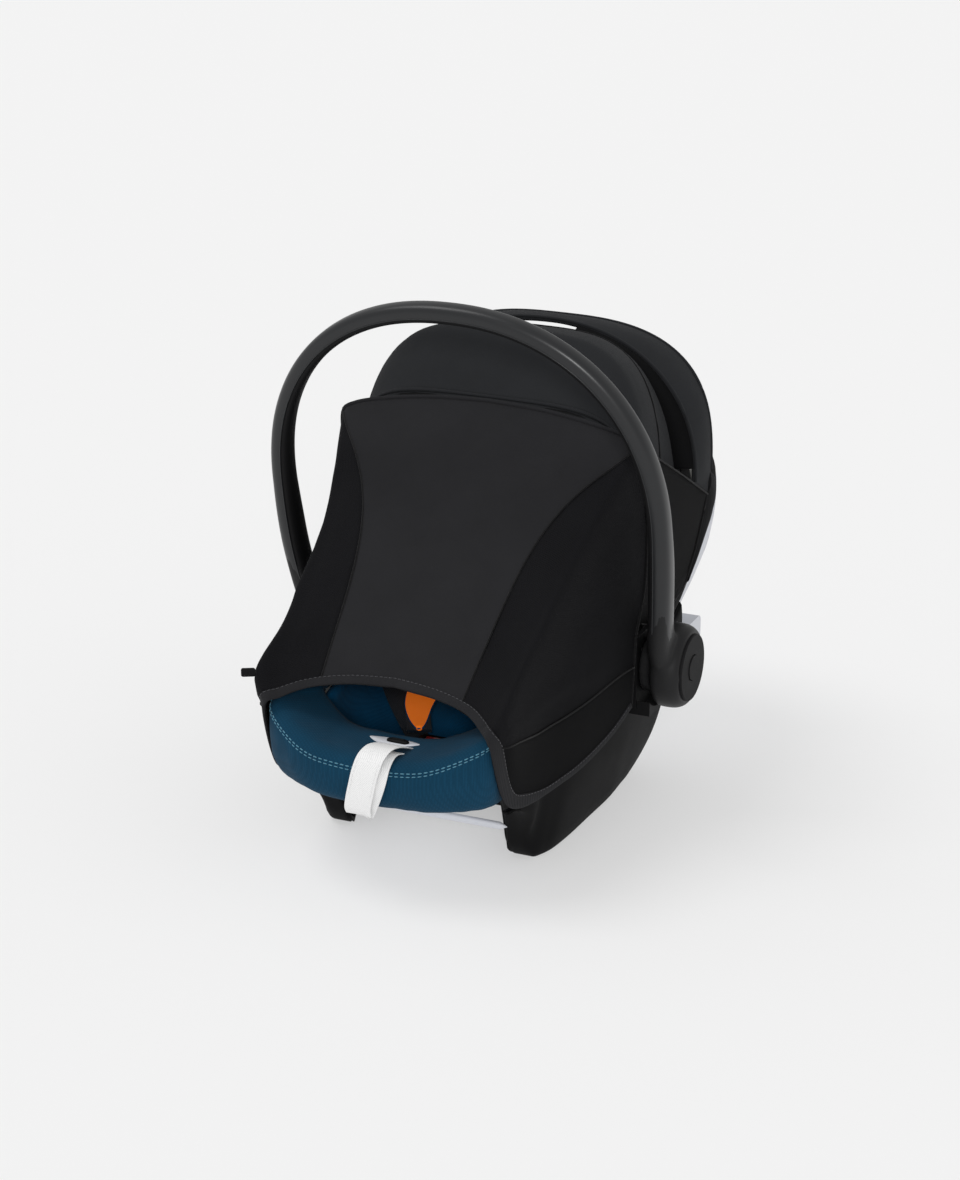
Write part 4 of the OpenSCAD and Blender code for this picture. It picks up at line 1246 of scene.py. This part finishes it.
def spline4(points, t):
    first = spline([p[:3] for p in points], t)
    last = spline([(p[3], 0, 0) for p in points], t)
    return first[0], max(first[1], 1), max(first[2], 1), last[0]


def on_back(p):
    return Matrix.Translation((0, 128, 142)) @ Matrix.Rotation(math.radians(40), 4, "X") @ Vector(p)


def inflate(piece, cap, frames=20):
    """Swells a pad with cloth pressure, no point further than cap millimetres."""
    modifier(piece, "REMESH", mode="VOXEL", voxel_size=5 * MM, use_smooth_shade=True)
    apply_modifiers(piece)
    start = [v.co.copy() for v in piece.data.vertices]
    cloth = piece.modifiers.new("cloth", "CLOTH")
    cloth.settings.use_pressure = True
    cloth.settings.uniform_pressure_force = 4
    cloth.settings.effector_weights.gravity = 0
    cloth.settings.quality = 4
    for f in range(1, frames + 1):
        bpy.context.scene.frame_set(f)
    graph = bpy.context.evaluated_depsgraph_get()
    swollen = piece.evaluated_get(graph).data
    moved = [v.co.copy() for v in swollen.vertices]
    piece.modifiers.remove(cloth)
    for v, a, b in zip(piece.data.vertices, start, moved):
        step = b - a
        if step.length > cap * MM:
            step = step.normalized() * cap * MM
        v.co = a + step
    bpy.context.scene.frame_set(1)
    modifier(piece, "SUBSURF", levels=1, render_levels=1)
    apply_modifiers(piece)
    piece.data.polygons.foreach_set("use_smooth", [True] * len(piece.data.polygons))


# Cushions of the inside as sections from end to end: y, half width, half height, z of the middle
HEAD_PAD = [(-44, 46, 3, 8.5), (-36, 68, 6, 9), (0, 76, 7.5, 10), (38, 76, 7.5, 10), (54, 62, 6, 9),
            (62, 40, 3, 8.5)]
INLAY = [(-174, 32, 3, 88), (-164, 46, 5, 85.5), (-120, 62, 8, 83), (-50, 78, 12, 86.5), (20, 82, 13, 88.5),
         (62, 76, 10, 98), (76, 60, 4, 105)]
CROTCH_FLAP = [(-188, 12, 1.5, 98.6), (-183, 17, 2.6, 99), (-166, 17, 2.6, 99), (-161, 13, 1.5, 98.6)]


def strap_line(side, reach):
    """Shoulder strap of a side. With reach 1 it runs further towards the buckle."""
    return [(side * 34, 112, 158), (side * 44, 84, 140), (side * 56, 40, 120), (side * 60, -20, 112),
            (side * mix(58, 46, reach), mix(-50, -84, reach), 110),
            (side * mix(40, 20, reach), mix(-92, -140, reach), 109)]


def make_pads():
    """Headrest pad and newborn inlay."""
    head = super_pad("head_pad", HEAD_PAD, "blue_knit", "headrest", on_back)
    inflate(head, 5)
    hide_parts("headrest_pad")
    inlay = super_pad("inlay_pad", INLAY, "blue_deep", "seat")
    inflate(inlay, 4)
    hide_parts("newborn_inlay")


def make_harness():
    """Straps, orange pads with their piping and the crotch flap."""
    for side, word in ((-1, "left"), (1, "right")):
        line = strap_line(side, 1 if side < 0 else 0)
        path = resample(curve(line, 60), 60)
        webbing_piece("shoulder_strap_" + word, path, 26, 2, "webbing", "seat")
        lap = [(side * 96, -40, 108), (side * 74, -70, 104), (side * 40, -112, 98), (side * 19, -136, 94)]
        lap = resample(curve(lap, 30), 30)
        webbing_piece("lap_strap_" + word, lap, 26, 1.6, "webbing", "seat",
                                    (0, 1, 0))
    crotch = resample(curve([(0, -184, 90), (0, -174, 94), (0, -163, 95)], 20), 20)
    webbing_piece("crotch_strap", crotch, 30, 2, "webbing", "seat")
    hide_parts("harness_webbing")
    for side, word in ((-1, "left"), (1, "right")):
        line = strap_line(side, 1 if side < 0 else 0)
        rings = []
        for k in range(45):
            f = mix(0.09, 1, k / 44)
            p = spline(line, f)
            t = (spline(line, min(f + 0.02, 1)) - spline(line, f - 0.02)).normalized()
            w = t.cross(Vector((0, 0, 1))).normalized() * mix(21, 2.5, f ** 5)
            rings.append([p + w * signed_power(math.cos(q), 0.8)
                          + Vector((0, 0, 3.6 + 2.4 * signed_power(math.sin(q), 0.8)))
                          for q in turns(24)])
        pad = loft_piece("shoulder_pad_" + word, rings, "orange_pad", "seat")
        edge = [r[0].lerp(r[23], 0.5) + Vector((0, 0, 0.2)) for r in rings[1:]]
        edge += [r[12] for r in reversed(rings[1:])]
        tube_piece("shoulder_piping_" + word, resample(edge, 100), 1.0, "blue_deep", "seat",
                   sides=8)
    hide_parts("shoulder_pads")
    flap = super_pad("crotch_flap", CROTCH_FLAP, "orange_pad", "seat")
    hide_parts("crotch_pad")


# ---- CAD nodes that stay -------------------------------------------------------------------------

KEPT = {
    "energy_foam": "foam", "belly_tray": "charcoal_shell", "belt_guide_left": "blue_guide",
    "belt_guide_right": "blue_guide", "belt_guide_rear": "blue_guide", "pedestal_left": "black_trim",
    "pedestal_right": "black_trim", "pivot_pin_left": "steel", "pivot_pin_right": "steel",
    "lock_gear_left": "steel", "lock_gear_right": "steel", "pedestal_screws": "steel",
    "canopy_discs": "black_trim", "canopy_front_bow": "black_trim", "canopy_mid_bow": "black_trim",
    "hub_cap_left": "cap_plastic", "hub_cap_right": "cap_plastic", "hub_screws": "steel",
    "button_left": "cap_plastic", "button_right": "cap_plastic", "lock_ring_left": "steel",
    "lock_ring_right": "steel", "button_spring_left": "steel", "button_spring_right": "steel",
    "protector_left": "pale_shell", "protector_right": "pale_shell", "headrest_shell": "pale_shell",
    "buckle_housing": "black_trim", "buckle_button": "red_button", "buckle_tongues": "steel",
    "splitter_plate": "steel", "base_lever": "charcoal_shell", "base_hooks": "steel",
}
# Radius of the rounded edges in millimetres
BEVELLED = {
    "pedestal_left": 1.5, "pedestal_right": 1.5, "belly_tray": 2, "hub_cap_left": 1.2, "hub_cap_right": 1.2,
    "button_left": 1.0, "button_right": 1.0, "protector_left": 2.5, "protector_right": 2.5,
    "base_lever": 2, "buckle_housing": 2, "buckle_button": 0.8, "belt_guide_left": 1.2,
    "belt_guide_right": 1.2, "belt_guide_rear": 1.2, "headrest_shell": 1.2,
}


def dress_kept():
    """Materials and rounded edges for the CAD pieces that show as they are."""
    for name, material in KEPT.items():
        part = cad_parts[name]
        part.data.materials.clear()
        part.data.materials.append(MATERIALS[material])
        if name in BEVELLED:
            modifier(part, "WELD", merge_threshold=0.01 * MM)
            soften(part, BEVELLED[name], 3, 40)


make_camera()
MATERIALS = make_materials()
make_stage()
make_shell()
make_bolster()
make_liner()
make_cover()
make_canopy()
make_handle()
make_strap()
make_adjuster()
make_pads()
make_harness()
dress_kept()
